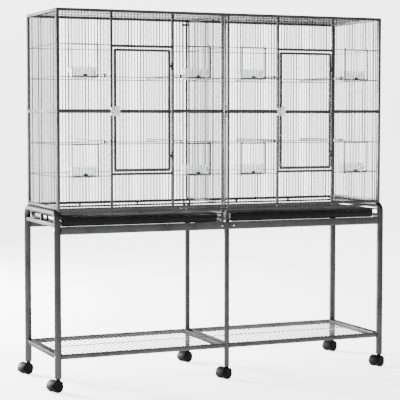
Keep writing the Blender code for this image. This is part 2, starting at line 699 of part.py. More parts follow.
def floor_grille(side, sign):
    x0, x1 = GRILLES_X[sign]
    y0, y1 = -LEG_Y - 0.0100, LEG_Y + 0.0090
    z0, z1 = GRILLE_Z
    rail = 0.005
    boxes = [
        xbox(sign, x0, x0 + rail, y0, y1, z0, z1),
        xbox(sign, x1 - rail, x1, y0, y1, z0, z1),
        xbox(sign, x0 + rail, x1 - rail, y0, y0 + rail, z0, z1),
        xbox(sign, x0 + rail, x1 - rail, y1 - rail, y1, z0, z1),
        xbox(sign, x0 + rail, x1 - rail, -0.0010, 0.0010, z0, z0 + 0.0018),
    ]
    name = "floor_grille_" + side
    bm = bmesh.new()
    add_boxes(bm, boxes)
    grille = mesh_object(name, bm, COAT, (sign * (x0 + x1) / 2, y0, z0))
    bm = bmesh.new()
    z = z1 - 0.0017
    for x in wire_places(x0 + rail, x1 - rail, 0.0200):
        x *= sign
        add_bar(bm, (x, y0 + rail - 0.003, z), (x, y1 - rail + 0.003, z), 0.0011)
    unite(grille, bm, name + "_wires")
    return grille


# ---------------------------------------------------------------- stand
def bent_corner(y, z, inward, steps=4):
    """Points of the quarter bend from the leg up into the top bar."""
    cy = y + inward * BEND_R
    cz = z - BEND_R
    made = []
    for n in range(steps + 1):
        a = math.radians(90.0 * n / steps)
        made.append((cy - inward * BEND_R * math.cos(a), cz + BEND_R * math.sin(a)))
    return made


def end_frame(side, sign):
    name = "stand_end_frame_" + side
    x = sign * LEG_X
    top = LEG_TOP - LEG_R
    path = [(-LEG_Y, LEG_FOOT)]
    path += bent_corner(-LEG_Y, top, 1)
    path += list(reversed(bent_corner(LEG_Y, top, -1)))
    path += [(LEG_Y, LEG_FOOT)]
    bm = bmesh.new()
    add_tube_path(bm, [(x, y, z) for y, z in path], LEG_R)
    frame = mesh_object(name, bm, COAT, smooth=True)
    bm = bmesh.new()
    reach = LEG_Y - 0.004
    boxes = [
        ((x - 0.0080, -reach, SIDE_BAR_Z[0]), (x + 0.0080, reach, SIDE_BAR_Z[1])),
        ((x - 0.0060, -0.0070, SIDE_BAR_Z[1]), (x + 0.0060, 0.0070, LEG_TOP - LEG_R)),
    ]
    add_boxes(bm, boxes)
    unite(frame, bm, name + "_bars")
    # Bolt heads on the outer side, at the rail and at the shelf.
    bm = bmesh.new()
    for y in (-LEG_Y, LEG_Y):
        for z in (0.6905, 0.1490):
            add_bar(bm, (x, y, z), (sign * (LEG_X + LEG_R + 0.0025), y, z), 0.0055, 6)
    unite(frame, bm, name + "_bolts")
    return frame


def centre_frame():
    name = "stand_centre_frame"
    bm = bmesh.new()
    back = RAIL_Z[0] - 0.0003
    for y in (-LEG_Y, LEG_Y):
        add_bar(bm, (0, y, LEG_FOOT), (0, y, back), MID_LEG_R, 12)
    frame = mesh_object(name, bm, COAT, smooth=True)
    bm = bmesh.new()
    boxes = []
    top = BASE0 - 0.0004
    for s in (-1, 1):
        a, b = sorted((s * (LEG_Y + 0.0001), s * (LEG_Y - MID_LEG_R)))
        boxes.append(((-0.0100, a, RAIL_Z[0] - 0.020), (0.0100, b, RAIL_Z[0])))
        boxes.append(((FORK_X[0][0], a, RAIL_Z[0]), (FORK_X[1][1], b, RAIL_Z[1])))
        boxes += [((x0, a, RAIL_Z[1]), (x1, b, top)) for x0, x1 in FORK_X]
    boxes.append(((-0.0060, -LEG_Y + MID_LEG_R, RAIL_Z[0] + 0.004), (0.0060, LEG_Y - MID_LEG_R, RAIL_Z[1] - 0.003)))
    add_boxes(bm, boxes)
    unite(frame, bm, name + "_bars")
    return frame


def stand_rail(name, side):
    """Rectangular rail between the end frames, in front of (or behind) the centre frame."""
    x1 = LEG_X - LEG_R - 0.0004
    y0, y1 = sorted((side * (LEG_Y + 0.0006), side * (LEG_Y + 0.0125)))
    bm = bmesh.new()
    add_box(bm, (-x1, y0, RAIL_Z[0]), (x1, y1, RAIL_Z[1]))
    rail = mesh_object(name, bm, COAT)
    # Bolt heads either side of the centre leg.
    bm = bmesh.new()
    z = (RAIL_Z[0] + RAIL_Z[1]) / 2
    for x in RAIL_BOLTS:
        add_bar(bm, (x, side * (LEG_Y + 0.0060), z), (x, side * (LEG_Y + 0.0150), z), 0.0045, 6)
    unite(rail, bm, name + "_bolts")
    return rail


def shelf(side, sign):
    name = "shelf_" + side
    z0, z1 = SHELF_Z
    outer, inner = 0.7722, 0.0114
    rail, ry0, ry1 = 0.012, 0.2234, 0.2354
    boxes = [
        xbox(sign, inner, outer, -ry1, -ry0, z0, z1),
        xbox(sign, inner, outer, ry0, ry1, z0, z1),
        xbox(sign, inner, inner + rail, -ry0, ry0, z0, z1),
        xbox(sign, outer - rail, outer, -ry0, ry0, z0, z1),
        # end rail in line with the legs
        xbox(sign, outer, 0.7937, -0.2150, 0.2150, z0, z1),
        xbox(sign, inner + rail, outer - rail, -ROW / 2, ROW / 2, z1 - 0.0016 - WIRE_R - 0.0027, z1 - 0.0016 - WIRE_R - 0.0003),
    ]
    bm = bmesh.new()
    add_boxes(bm, boxes)
    obj = mesh_object(name, bm, COAT)
    bm = bmesh.new()
    z = z1 - 0.0016
    for x in wire_places(inner + rail, outer - rail, SHELF_PITCH):
        x *= sign
        add_bar(bm, (x, -ry0 - EMBED, z), (x, ry0 + EMBED, z), WIRE_R)
    unite(obj, bm, name + "_wires")
    return obj


# ---------------------------------------------------------------- casters
def caster_frame(x, y):
    """Frame with Z along the axle, X back along the trail and Y up, at the wheel centre."""
    trail = Vector((-math.cos(CASTER_YAW), -math.sin(CASTER_YAW), 0))
    up = Vector((0, 0, 1))
    axle = trail.cross(up)
    centre = Vector((x, y, WHEEL_R)) + TRAIL * trail
    m = Matrix.Identity(4)
    for k, v in enumerate((trail, up, axle)):
        m.col[k] = (*v, 0.0)
    m.col[3] = (*centre, 1.0)
    return m, centre


def caster(side, x, y):
    m, centre = caster_frame(x, y)
    # Housing: a web between the wheels and a hood that covers them from behind and above.
    hood_in = WHEEL_RIM + 0.0011
    outline = []
    for n in range(8):
        a = math.radians(-25 + 205 * n / 7)
        outline.append((HOOD_R * math.cos(a), HOOD_R * math.sin(a)))
    outline += [(-0.0200, -0.0030), (-0.0080, -0.0080), (0.0080, -0.0090)]
    hole = [(0.0049 * math.cos(math.radians(-45 * n)), 0.0049 * math.sin(math.radians(-45 * n))) for n in range(8)]
    bm = bmesh.new()
    add_extrusion(bm, outline, [hole], 0.0100, m)
    housing = mesh_object("caster_housing_" + side, bm, BLACK, (x, y, LEG_FOOT), smooth=True)
    shell = []
    for n in range(9):
        a = math.radians(-20 + 175 * n / 8)
        shell.append((HOOD_R * math.cos(a), HOOD_R * math.sin(a)))
    for n in range(8, -1, -1):
        a = math.radians(-20 + 175 * n / 8)
        shell.append((hood_in * math.cos(a), hood_in * math.sin(a)))
    bm = bmesh.new()
    add_extrusion(bm, shell, [], 2 * CASTER_HALF, m)
    unite(housing, bm, "caster_hood_" + side)
    bm = bmesh.new()
    add_bar(bm, (x, y, 0.0400), (x, y, LEG_FOOT - 0.0004), 0.0055, 8)
    unite(housing, bm, "caster_stem_" + side)
    # The wheels and their axle turn together.
    r, w = WHEEL_RIM, CASTER_HALF
    profile = [
        (0.0, -w),
        (r * 0.90, -w),
        (r, -w + 0.0030),
        (r, -0.0095),
        (0.0040, -0.0058),
        (0.0040, 0.0058),
        (r, 0.0095),
        (r, w - 0.0030),
        (r * 0.90, w),
        (0.0, w),
    ]
    bm = bmesh.new()
    add_turned(bm, profile, m, WHEEL_SIDES)
    wheels = mesh_object("caster_wheels_" + side, bm, BLACK, centre, smooth=True)
    return housing, wheels


# ---------------------------------------------------------------- the whole cage
for side, sign in (("left", -1), ("right", 1)):
    front_panel(side, sign)
    back_panel(side, sign)
    side_panel(side, sign)
    roof_panel(side, sign)
    main_door(side, sign)
    door_latch(side, sign)
    for where, centre in zip(("outer", "inner"), feeder_centres(sign)):
        for level, lo, hi in (("upper", ROWS[1], ROWS[0]), ("lower", ROWS[3], ROWS[2])):
            feeder_door(side, where, level, centre, lo, hi)
            feeder_cup(side, where, level, centre, lo - 0.0065)
    floor_grille(side, sign)
    shelf(side, sign)
    end_frame(side, sign)
centre_divider()
for side, (x0, x1) in zip(("left", "right"), TRAYS_X):
    tray(side, x0, x1)
for x, place in zip(PERCHES_X, ("left_outer", "left_inner", "right_inner", "right_outer")):
    for z, level in zip(PERCHES_Z, ("upper", "lower")):
        perch("perch_%s_%s" % (place, level), x, z)
centre_frame()
stand_rail("stand_front_rail", -1)
stand_rail("stand_back_rail", 1)
for where, y in (("front", -LEG_Y), ("back", LEG_Y)):
    for side, x in (("left", -LEG_X), ("centre", 0.0), ("right", LEG_X)):
        caster(where + "_" + side, x, y)

# The casters trail to one side, so the box round everything is off the middle of the cage.
corners = [
    [min(o.location[k] + v.co[k] for o in scene.objects if o.type == "MESH" for v in o.data.vertices) for k in (0, 1)],
    [max(o.location[k] + v.co[k] for o in scene.objects if o.type == "MESH" for v in o.data.vertices) for k in (0, 1)],
]
origin_empty.location = [-round((corners[0][k] + corners[1][k]) / 2, 5) for k in (0, 1)] + [0.0]
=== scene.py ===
"""Looks of the double flight cage: round welded wires, hammered powder coat, moulded casters."""
import math

import bmesh
import bpy
from mathutils import Matrix, Vector


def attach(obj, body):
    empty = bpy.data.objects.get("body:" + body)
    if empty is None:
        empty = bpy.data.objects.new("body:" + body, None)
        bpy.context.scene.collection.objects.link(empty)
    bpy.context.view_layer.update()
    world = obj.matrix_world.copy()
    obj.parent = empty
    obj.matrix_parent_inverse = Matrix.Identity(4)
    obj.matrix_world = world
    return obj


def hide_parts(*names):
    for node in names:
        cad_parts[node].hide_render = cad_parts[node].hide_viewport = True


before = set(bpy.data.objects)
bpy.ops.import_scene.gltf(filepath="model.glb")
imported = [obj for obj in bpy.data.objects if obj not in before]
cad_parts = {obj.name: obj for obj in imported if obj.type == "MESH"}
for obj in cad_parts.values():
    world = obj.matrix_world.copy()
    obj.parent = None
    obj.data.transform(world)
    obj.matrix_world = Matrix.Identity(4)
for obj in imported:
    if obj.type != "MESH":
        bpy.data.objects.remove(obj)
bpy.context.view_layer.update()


# ---------------------------------------------------------------- dimensions, as in the CAD
SHIFT = Vector((0.01675, 0.00610, 0.0))
TUBE = 0.012
HALF_T = TUBE / 2
HALF_W = 0.7853
HALF_D = 0.2294
TOP = 1.6285
PITCH = 0.0140
ROWS = (1.4785, 1.3404, 1.0540, 0.9165)
MID = 1.1956
BOTTOM = 0.7765
BASE = 0.7599
SLOT = {-1: (0.0173, 0.0239), 1: (0.0045, 0.0125)}
SLOT_BACK = {-1: (0.0213, 0.0279), 1: (0.0025, 0.0095)}
SLOT_DEEP = 0.0080
POSTS = {-1: (0.5393, 0.2568), 1: (0.5322, 0.2535)}
DOORS = {-1: (-0.5288, -0.2693), 1: (0.2640, 0.5229)}
POST_HALF = 0.0048
DIVIDER_X = (-0.0097, -0.0037)
DOOR_TUBE = 0.0108
DOOR_Z = (0.9358, 1.4621)
DOOR_MID = 1.1940
HEADER = 1.4738
HEADER_HALF = 0.0054
SILL = 0.9240
SILL_HALF = 0.0052
CLIP_Z = (1.5995, 1.6095)
MID_CLIP = sum(CLIP_Z) / 2
HINGE_Z = (1.3900, 1.0000)
HINGE_R = 0.0033
HINGE_OUT = 0.0037
FEEDER_W = 0.1190
CUP = (0.1160, 0.0620, 0.0480)
PERCH_R = 0.0068
PERCH_BODY = 0.2050
PERCH_END = 0.2240
PERCHES_X = (-0.5608, -0.2085, 0.2485, 0.5917)
PERCHES_Z = (1.3487, 1.0623)
LEG_X = 0.7865
LEG_Y = 0.2294
LEG_R = 0.0138
LEG_FOOT = 0.0550
LEG_TOP = 0.7750
BEND_R = 0.0330
MID_LEG_R = 0.0106
FORK_X = ((-0.0245, -0.0140), (-0.0030, 0.0130))
RAIL_BOLTS = (-0.0280, 0.0290)
RAIL_Z = (0.6710, 0.7048)
SIDE_BAR_Z = (0.7010, 0.7185)
SHELF_Z = (0.1380, 0.1580)
SHELF_PITCH = 0.0220
TRAY_Z = (0.7052, 0.7388)
TRAYS_X = ((-0.7712, -0.0470), (0.0170, 0.7460))
GRILLES_X = {-1: (0.0260, 0.7690), 1: (0.0145, 0.7690)}
GRILLE_Z = (0.7396, 0.7446)
WHEEL_R = 0.0250
HOOD_R = 0.0285
CASTER_HALF = 0.0275
TRAIL = 0.0165
CASTER_YAW = math.radians(20)

FRONT_Y = -HALF_D + HALF_T
BACK_Y = HALF_D - HALF_T
CORNER_X = HALF_W - HALF_T
MEET = 0.0003
BOT0, BOT1 = BOTTOM - HALF_T, BOTTOM + HALF_T
BASE0, BASE1 = BASE - 0.0040, BASE + 0.0040
TOP0 = TOP - TUBE
MID_HALF = 0.0070
MID0, MID1 = MID - MID_HALF, MID + MID_HALF
WIRE = 0.00155          # wire radius, front and back
SIDE_WIRE = 0.00125     # ends and divider
ROOF_WIRE = 0.0011
WIRE_OUT = 0.0030
LEVELS = (("upper", ROWS[1], ROWS[0]), ("lower", ROWS[3], ROWS[2]))


# ---------------------------------------------------------------- materials
class Nodes:
    """Small helper that builds a node material around one Principled shader."""

    def __init__(self, name, roughness=0.5, metallic=0.0, **sockets):
        self.mat = bpy.data.materials.new(name)
        self.mat.use_nodes = True
        self.tree = self.mat.node_tree
        self.shader = self.tree.nodes["Principled BSDF"]
        self.shader.inputs["Roughness"].default_value = roughness
        self.shader.inputs["Metallic"].default_value = metallic
        for key, value in sockets.items():
            self.shader.inputs[key.replace("_", " ")].default_value = value
        self.coords = self.tree.nodes.new("ShaderNodeTexCoord").outputs["Object"]

    def node(self, kind, **values):
        made = self.tree.nodes.new(kind)
        for key, value in values.items():
            if key in made.inputs:
                made.inputs[key].default_value = value
            else:
                setattr(made, key, value)
        return made

    def link(self, a, b):
        self.tree.links.new(a, b)

    def noise(self, scale, detail=3.0, rough=0.5, stretch=None):
        made = self.node("ShaderNodeTexNoise", Scale=scale, Detail=detail, Roughness=rough)
        source = self.coords
        if stretch:
            mapping = self.node("ShaderNodeMapping")
            mapping.inputs["Scale"].default_value = stretch
            self.link(self.coords, mapping.inputs["Vector"])
            source = mapping.outputs["Vector"]
        self.link(source, made.inputs["Vector"])
        return made.outputs["Fac"]

    def cells(self, scale, smooth=0.6):
        made = self.node("ShaderNodeTexVoronoi", feature="SMOOTH_F1", Scale=scale, Smoothness=smooth)
        self.link(self.coords, made.inputs["Vector"])
        return made.outputs["Distance"]

    def ramp(self, factor, stops):
        made = self.node("ShaderNodeValToRGB")
        elements = made.color_ramp.elements
        while len(elements) < len(stops):
            elements.new(0.5)
        for element, (place, colour) in zip(elements, stops):
            element.position = place
            element.color = (*colour, 1.0)
        self.link(factor, made.inputs["Fac"])
        return made.outputs["Color"]

    def spread(self, factor, low, high):
        made = self.node("ShaderNodeMapRange")
        made.inputs["To Min"].default_value = low
        made.inputs["To Max"].default_value = high
        self.link(factor, made.inputs["Value"])
        return made.outputs["Result"]

    def bump(self, height, strength, distance, after=None):
        made = self.node("ShaderNodeBump", Strength=strength, Distance=distance)
        self.link(height, made.inputs["Height"])
        if after is not None:
            self.link(after, made.inputs["Normal"])
        self.link(made.outputs["Normal"], self.shader.inputs["Normal"])
        return made.outputs["Normal"]


def hammered(name, dark, light, roughness, metallic=0.55, cell=330.0, strength=0.35, tint=1.0, level=0.5):
    """Powder coat with a hammered skin: small raised cells and a slow drift in tone."""
    m = Nodes(name, metallic=metallic, Specular_Tint=(tint, tint, tint, 1.0), Specular_IOR_Level=level)
    cells = m.cells(cell)
    drift = m.noise(9.0, 2.0)
    mixed = m.node("ShaderNodeMath", operation="MULTIPLY_ADD")
    m.link(cells, mixed.inputs[0])
    mixed.inputs[1].default_value = 0.9
    m.link(drift, mixed.inputs[2])
    m.link(m.ramp(mixed.outputs["Value"], ((0.35, dark), (1.15, light))), m.shader.inputs["Base Color"])
    m.link(m.spread(m.noise(60.0, 3.0), roughness - 0.07, roughness + 0.09), m.shader.inputs["Roughness"])
    fine = m.bump(m.noise(1500.0, 2.0), 0.06, 0.00015)
    m.bump(cells, strength, 0.0005, fine)
    return m.mat


def plastic(name, base, roughness, grain=900.0, strength=0.08, drift=0.12, **sockets):
    """Moulded plastic with fine grain and slight drift in tone and gloss."""
    m = Nodes(name, **sockets)
    tone = m.noise(14.0, 3.0)
    low = tuple(max(0.0, c * (1 - drift)) for c in base)
    high = tuple(min(1.0, c * (1 + drift)) for c in base)
    m.link(m.ramp(tone, ((0.3, low), (0.7, high))), m.shader.inputs["Base Color"])
    m.link(m.spread(m.noise(45.0, 4.0), roughness - 0.05, roughness + 0.08), m.shader.inputs["Roughness"])
    m.bump(m.noise(grain, 3.0), strength, 0.0002)
    return m.mat


def bright(name, base, roughness, stretch, metallic=1.0):
    """Plated steel with fine drawn lines."""
    m = Nodes(name, metallic=metallic)
    lines = m.noise(90.0, 4.0, 0.6, stretch)
    low = tuple(c * 0.86 for c in base)
    m.link(m.ramp(lines, ((0.3, low), (0.7, base))), m.shader.inputs["Base Color"])
    m.link(m.spread(lines, roughness - 0.04, roughness + 0.10), m.shader.inputs["Roughness"])
    m.bump(lines, 0.05, 0.0001)
    return m.mat


COAT = hammered("hammered_coat", (0.010, 0.010, 0.010), (0.075, 0.075, 0.075), 0.42, metallic=0.8, tint=0.05, level=0.15)
# Darker copy of the same hammered coat for the stand's end frames, centre frame and shelves: painted shade that keeps
# these low parts dark against the bright floor.
STAND_COAT_SHADED = hammered("hammered_coat_painted_shade", (0.008, 0.008, 0.008), (0.056, 0.056, 0.056), 0.42, metallic=0.75, tint=0.05, level=0.10)
WIRES = hammered("coated_wire", (0.010, 0.010, 0.010), (0.070, 0.070, 0.070), 0.40, metallic=0.8, cell=500.0, strength=0.2, tint=0.05, level=0.15)
# Darker copy of the coated wire for the floor grilles: painted shade for the grilles, which sit in the dark slot under
# the cage.
GRILLE_WIRES_SHADED = hammered("grille_wire_painted_shade", (0.004, 0.004, 0.004), (0.026, 0.026, 0.026), 0.45, metallic=0.6, cell=500.0, strength=0.2, tint=0.05, level=0.10)
PAN = hammered("coated_pan", (0.001, 0.001, 0.001), (0.004, 0.004, 0.004), 0.28, metallic=0.0, strength=0.12, level=0.06)
RUBBER = plastic("caster_tyre", (0.003, 0.003, 0.003), 0.62, 1200.0, 0.12, Specular_IOR_Level=0.05)
MOULDED = plastic("caster_black", (0.002, 0.002, 0.002), 0.55, 900.0, 0.05, Specular_IOR_Level=0.03)
CAP = plastic("end_cap", (0.020, 0.020, 0.021), 0.42, 900.0, 0.08)
CUPS = plastic("cup_white", (0.95, 0.96, 0.96), 0.45, 500.0, 0.03, 0.02, Transmission_Weight=0.85, IOR=1.15)
PERCH = plastic("perch_grey", (0.085, 0.083, 0.078), 0.58, 600.0, 0.2, 0.15)
# Near-white plate kept mostly diffuse by a low metallic value: partly the bright plating, partly a painted glint
# standing in for the plate's reflection of a front light.
PLATE_PAINTED_GLINT = bright("latch_plate_painted_glint", (0.94, 0.94, 0.95), 0.30, (1.0, 1.0, 12.0), 0.25)
BOLT = bright("bolt_zinc", (0.62, 0.62, 0.60), 0.30, (6.0, 6.0, 6.0))


# ---------------------------------------------------------------- mesh helpers
def new():
    return bmesh.new()


def block(bm, lo, hi, bevel=0.0012, segments=2, mat=0):
    """A box with rounded edges."""
    lo, hi = Vector(lo), Vector(hi)
    made = bmesh.ops.create_cube(bm, size=1.0)["verts"]
    bmesh.ops.scale(bm, vec=hi - lo, verts=made)
    bmesh.ops.translate(bm, vec=(lo + hi) / 2, verts=made)
    faces = {f for v in made for f in v.link_faces}
    edges = {e for v in made for e in v.link_edges}
    for f in faces:
        f.material_index = mat
    if bevel:
        bmesh.ops.bevel(
            bm,
            geom=list(edges),
            offset=min(bevel, 0.45 * min(hi - lo)),
            segments=segments,
            profile=0.5,
            affect="EDGES",
            material=mat,
        )


def ring_pair(axis):
    side = Vector((0, 0, 1)) if abs(axis.z) < 0.9 else Vector((0, 1, 0))
    u = (side - side.dot(axis) * axis).normalized()
    return u, axis.cross(u)


def bar(bm, start, end, radius, sides=8, mat=0, round_end=0.35):
    """A round bar with softly rounded ends."""
    start, end = Vector(start), Vector(end)
    axis = (end - start).normalized()
    u, v = ring_pair(axis)
    cap = radius * round_end
    stations = ((start, radius * 0.72), (start + axis * cap, radius), (end - axis * cap, radius), (end, radius * 0.72))
    rings = []
    for centre, r in stations:
        rings.append(
            [bm.verts.new(centre + r * (math.cos(2 * math.pi * n / sides) * u + math.sin(2 * math.pi * n / sides) * v)) for n in range(sides)]
        )
    faces = []
    for a, b in zip(rings, rings[1:]):
        for n in range(sides):
            m = (n + 1) % sides
            faces.append(bm.faces.new((a[n], a[m], b[m], b[n])))
    faces.append(bm.faces.new(list(reversed(rings[0]))))
    faces.append(bm.faces.new(rings[-1]))
    for f in faces:
        f.material_index = mat


def path_bar(bm, points, radius, sides=10, mat=0, closed=False):
    """A round bar bent along a path."""
    points = [Vector(p) for p in points]
    count = len(points)
    rings = []
    normal = None
    for n, p in enumerate(points):
        before = points[n] - points[n - 1] if (n or closed) else points[1] - points[0]
        after = points[(n + 1) % count] - points[n] if (n + 1 < count or closed) else before
        tangent = (before.normalized() + after.normalized()).normalized()
        if normal is None:
            normal, _ = ring_pair(tangent)
        normal = (normal - normal.dot(tangent) * tangent).normalized()
        other = tangent.cross(normal)
        bend = (after.normalized() - before.normalized())
        half = max(0.3, tangent.dot(after.normalized()))
        ring = []
        for k in range(sides):
            a = 2 * math.pi * k / sides
            offset = math.cos(a) * normal + math.sin(a) * other
            if bend.length > 1e-6:
                b = bend.normalized()
                offset = offset + (1 / half - 1) * offset.dot(b) * b
            ring.append(bm.verts.new(p + radius * offset))
        rings.append(ring)
    pairs = list(zip(rings, rings[1:]))
    if closed:
        pairs.append((rings[-1], rings[0]))
    faces = []
    for a, b in pairs:
        shift = 0
        if closed and a is rings[-1]:
            shift = min(range(sides), key=lambda s: (a[0].co - b[s].co).length)
        for k in range(sides):
            m = (k + 1) % sides
            faces.append(bm.faces.new((a[k], a[m], b[(m + shift) % sides], b[(k + shift) % sides])))
    if not closed:
        faces.append(bm.faces.new(list(reversed(rings[0]))))
        faces.append(bm.faces.new(rings[-1]))
    for f in faces:
        f.material_index = mat


def arc(cx, cy, radius, start, end, steps):
    """Points on a flat arc, angles in degrees."""
    made = []
    for n in range(steps + 1):
        a = math.radians(start + (end - start) * n / steps)
        made.append((cx + radius * math.cos(a), cy + radius * math.sin(a)))
    return made


def turned(bm, profile, matrix, sides=28, mat=0):
    """A turned shape from (radius, height) points; radius 0 closes it on the axis."""
    rings = []
    for radius, height in profile:
        if radius == 0:
            rings.append([bm.verts.new(matrix @ Vector((0, 0, height)))])
        else:
            rings.append(
                [
                    bm.verts.new(matrix @ Vector((radius * math.cos(2 * math.pi * n / sides), radius * math.sin(2 * math.pi * n / sides), height)))
                    for n in range(sides)
                ]
            )
    for a, b in zip(rings, rings[1:]):
        for n in range(sides):
            m = (n + 1) % sides
            if len(a) == 1:
                f = bm.faces.new((a[0], b[m], b[n]))
            elif len(b) == 1:
                f = bm.faces.new((a[n], a[m], b[0]))
            else:
                f = bm.faces.new((a[n], a[m], b[m], b[n]))
            f.material_index = mat


def sheet_shape(bm, outline, matrix, depth, mat=0):
    """A flat outline extruded by depth along its own Z."""
    front = [bm.verts.new(matrix @ Vector((x, y, depth / 2))) for x, y in outline]
    back = [bm.verts.new(matrix @ Vector((x, y, -depth / 2))) for x, y in outline]
    count = len(outline)
    faces = [bm.faces.new(front), bm.faces.new(list(reversed(back)))]
    for n in range(count):
        m = (n + 1) % count
        faces.append(bm.faces.new((front[n], back[n], back[m], front[m])))
    for f in faces:
        f.material_index = mat


def finish_piece(name, bm, mats, body, replaces=(), angle=40.0):
    bmesh.ops.recalc_face_normals(bm, faces=bm.faces)
    bmesh.ops.translate(bm, vec=SHIFT, verts=bm.verts)
    mesh = bpy.data.meshes.new(name)
    bm.to_mesh(mesh)
    bm.free()
    for mat in mats:
        mesh.materials.append(mat)
    mesh.shade_smooth()
    mesh.set_sharp_from_angle(angle=math.radians(angle))
    obj = bpy.data.objects.new(name, mesh)
    bpy.context.scene.collection.objects.link(obj)
    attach(obj, body)
    if replaces:
        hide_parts(*replaces)
    return obj


def wire_places(lo, hi, pitch=PITCH):
    gaps = max(1, round((hi - lo) / pitch))
    return [lo + (hi - lo) * n / gaps for n in range(1, gaps)]


def span(sign, a, b):
    return sorted((sign * a, sign * b))


def tube(bm, sign, x0, x1, y0, y1, z0, z1, bevel=0.0007):
    a, b = span(sign, x0, x1)
    block(bm, (a, y0, z0), (b, y1, z1), bevel)


def door_posts(sign):
    return tuple(sorted(sign * x for x in POSTS[sign]))


def door_edges(sign):
    return DOORS[sign]


def hinge_line(sign):
    return (door_edges(sign)[1] + door_posts(sign)[1] - POST_HALF) / 2


def feeder_centres(sign):
    return (sign * (POSTS[sign][0] + POST_HALF + HALF_W - TUBE) / 2, sign * (POSTS[sign][1] - POST_HALF + SLOT[sign][1]) / 2)


COATED = [COAT, WIRES, PLATE_PAINTED_GLINT, BOLT, CAP]
# Stand pieces take the darker copy of the coat, which is painted shade.
STAND_SHADED = [STAND_COAT_SHADED, WIRES, PLATE_PAINTED_GLINT, BOLT, CAP]
# Grille pieces take the darker copy of the wire, which is painted shade.
GRILLE_SHADED = [COAT, GRILLE_WIRES_SHADED, PLATE_PAINTED_GLINT, BOLT, CAP]


# ---------------------------------------------------------------- cage walls
def base_parts(bm, sign, y0, y1):
    tube(bm, sign, MEET, 0.7720, y0, y1, BASE0, BASE1)
    tube(bm, sign, *SLOT[sign], y0 + 0.002, y1 - 0.002, BASE1 - 0.002, BOT0 + 0.002)
    for x in POSTS[sign]:
        tube(bm, sign, x - 0.004, x + 0.004, y0 + 0.002, y1 - 0.002, BASE1 - 0.002, BOT0 + 0.002)
    tube(bm, sign, 0.7620, 0.7700, y0 + 0.002, y1 - 0.002, BASE1 - 0.002, BOT0 + 0.002)


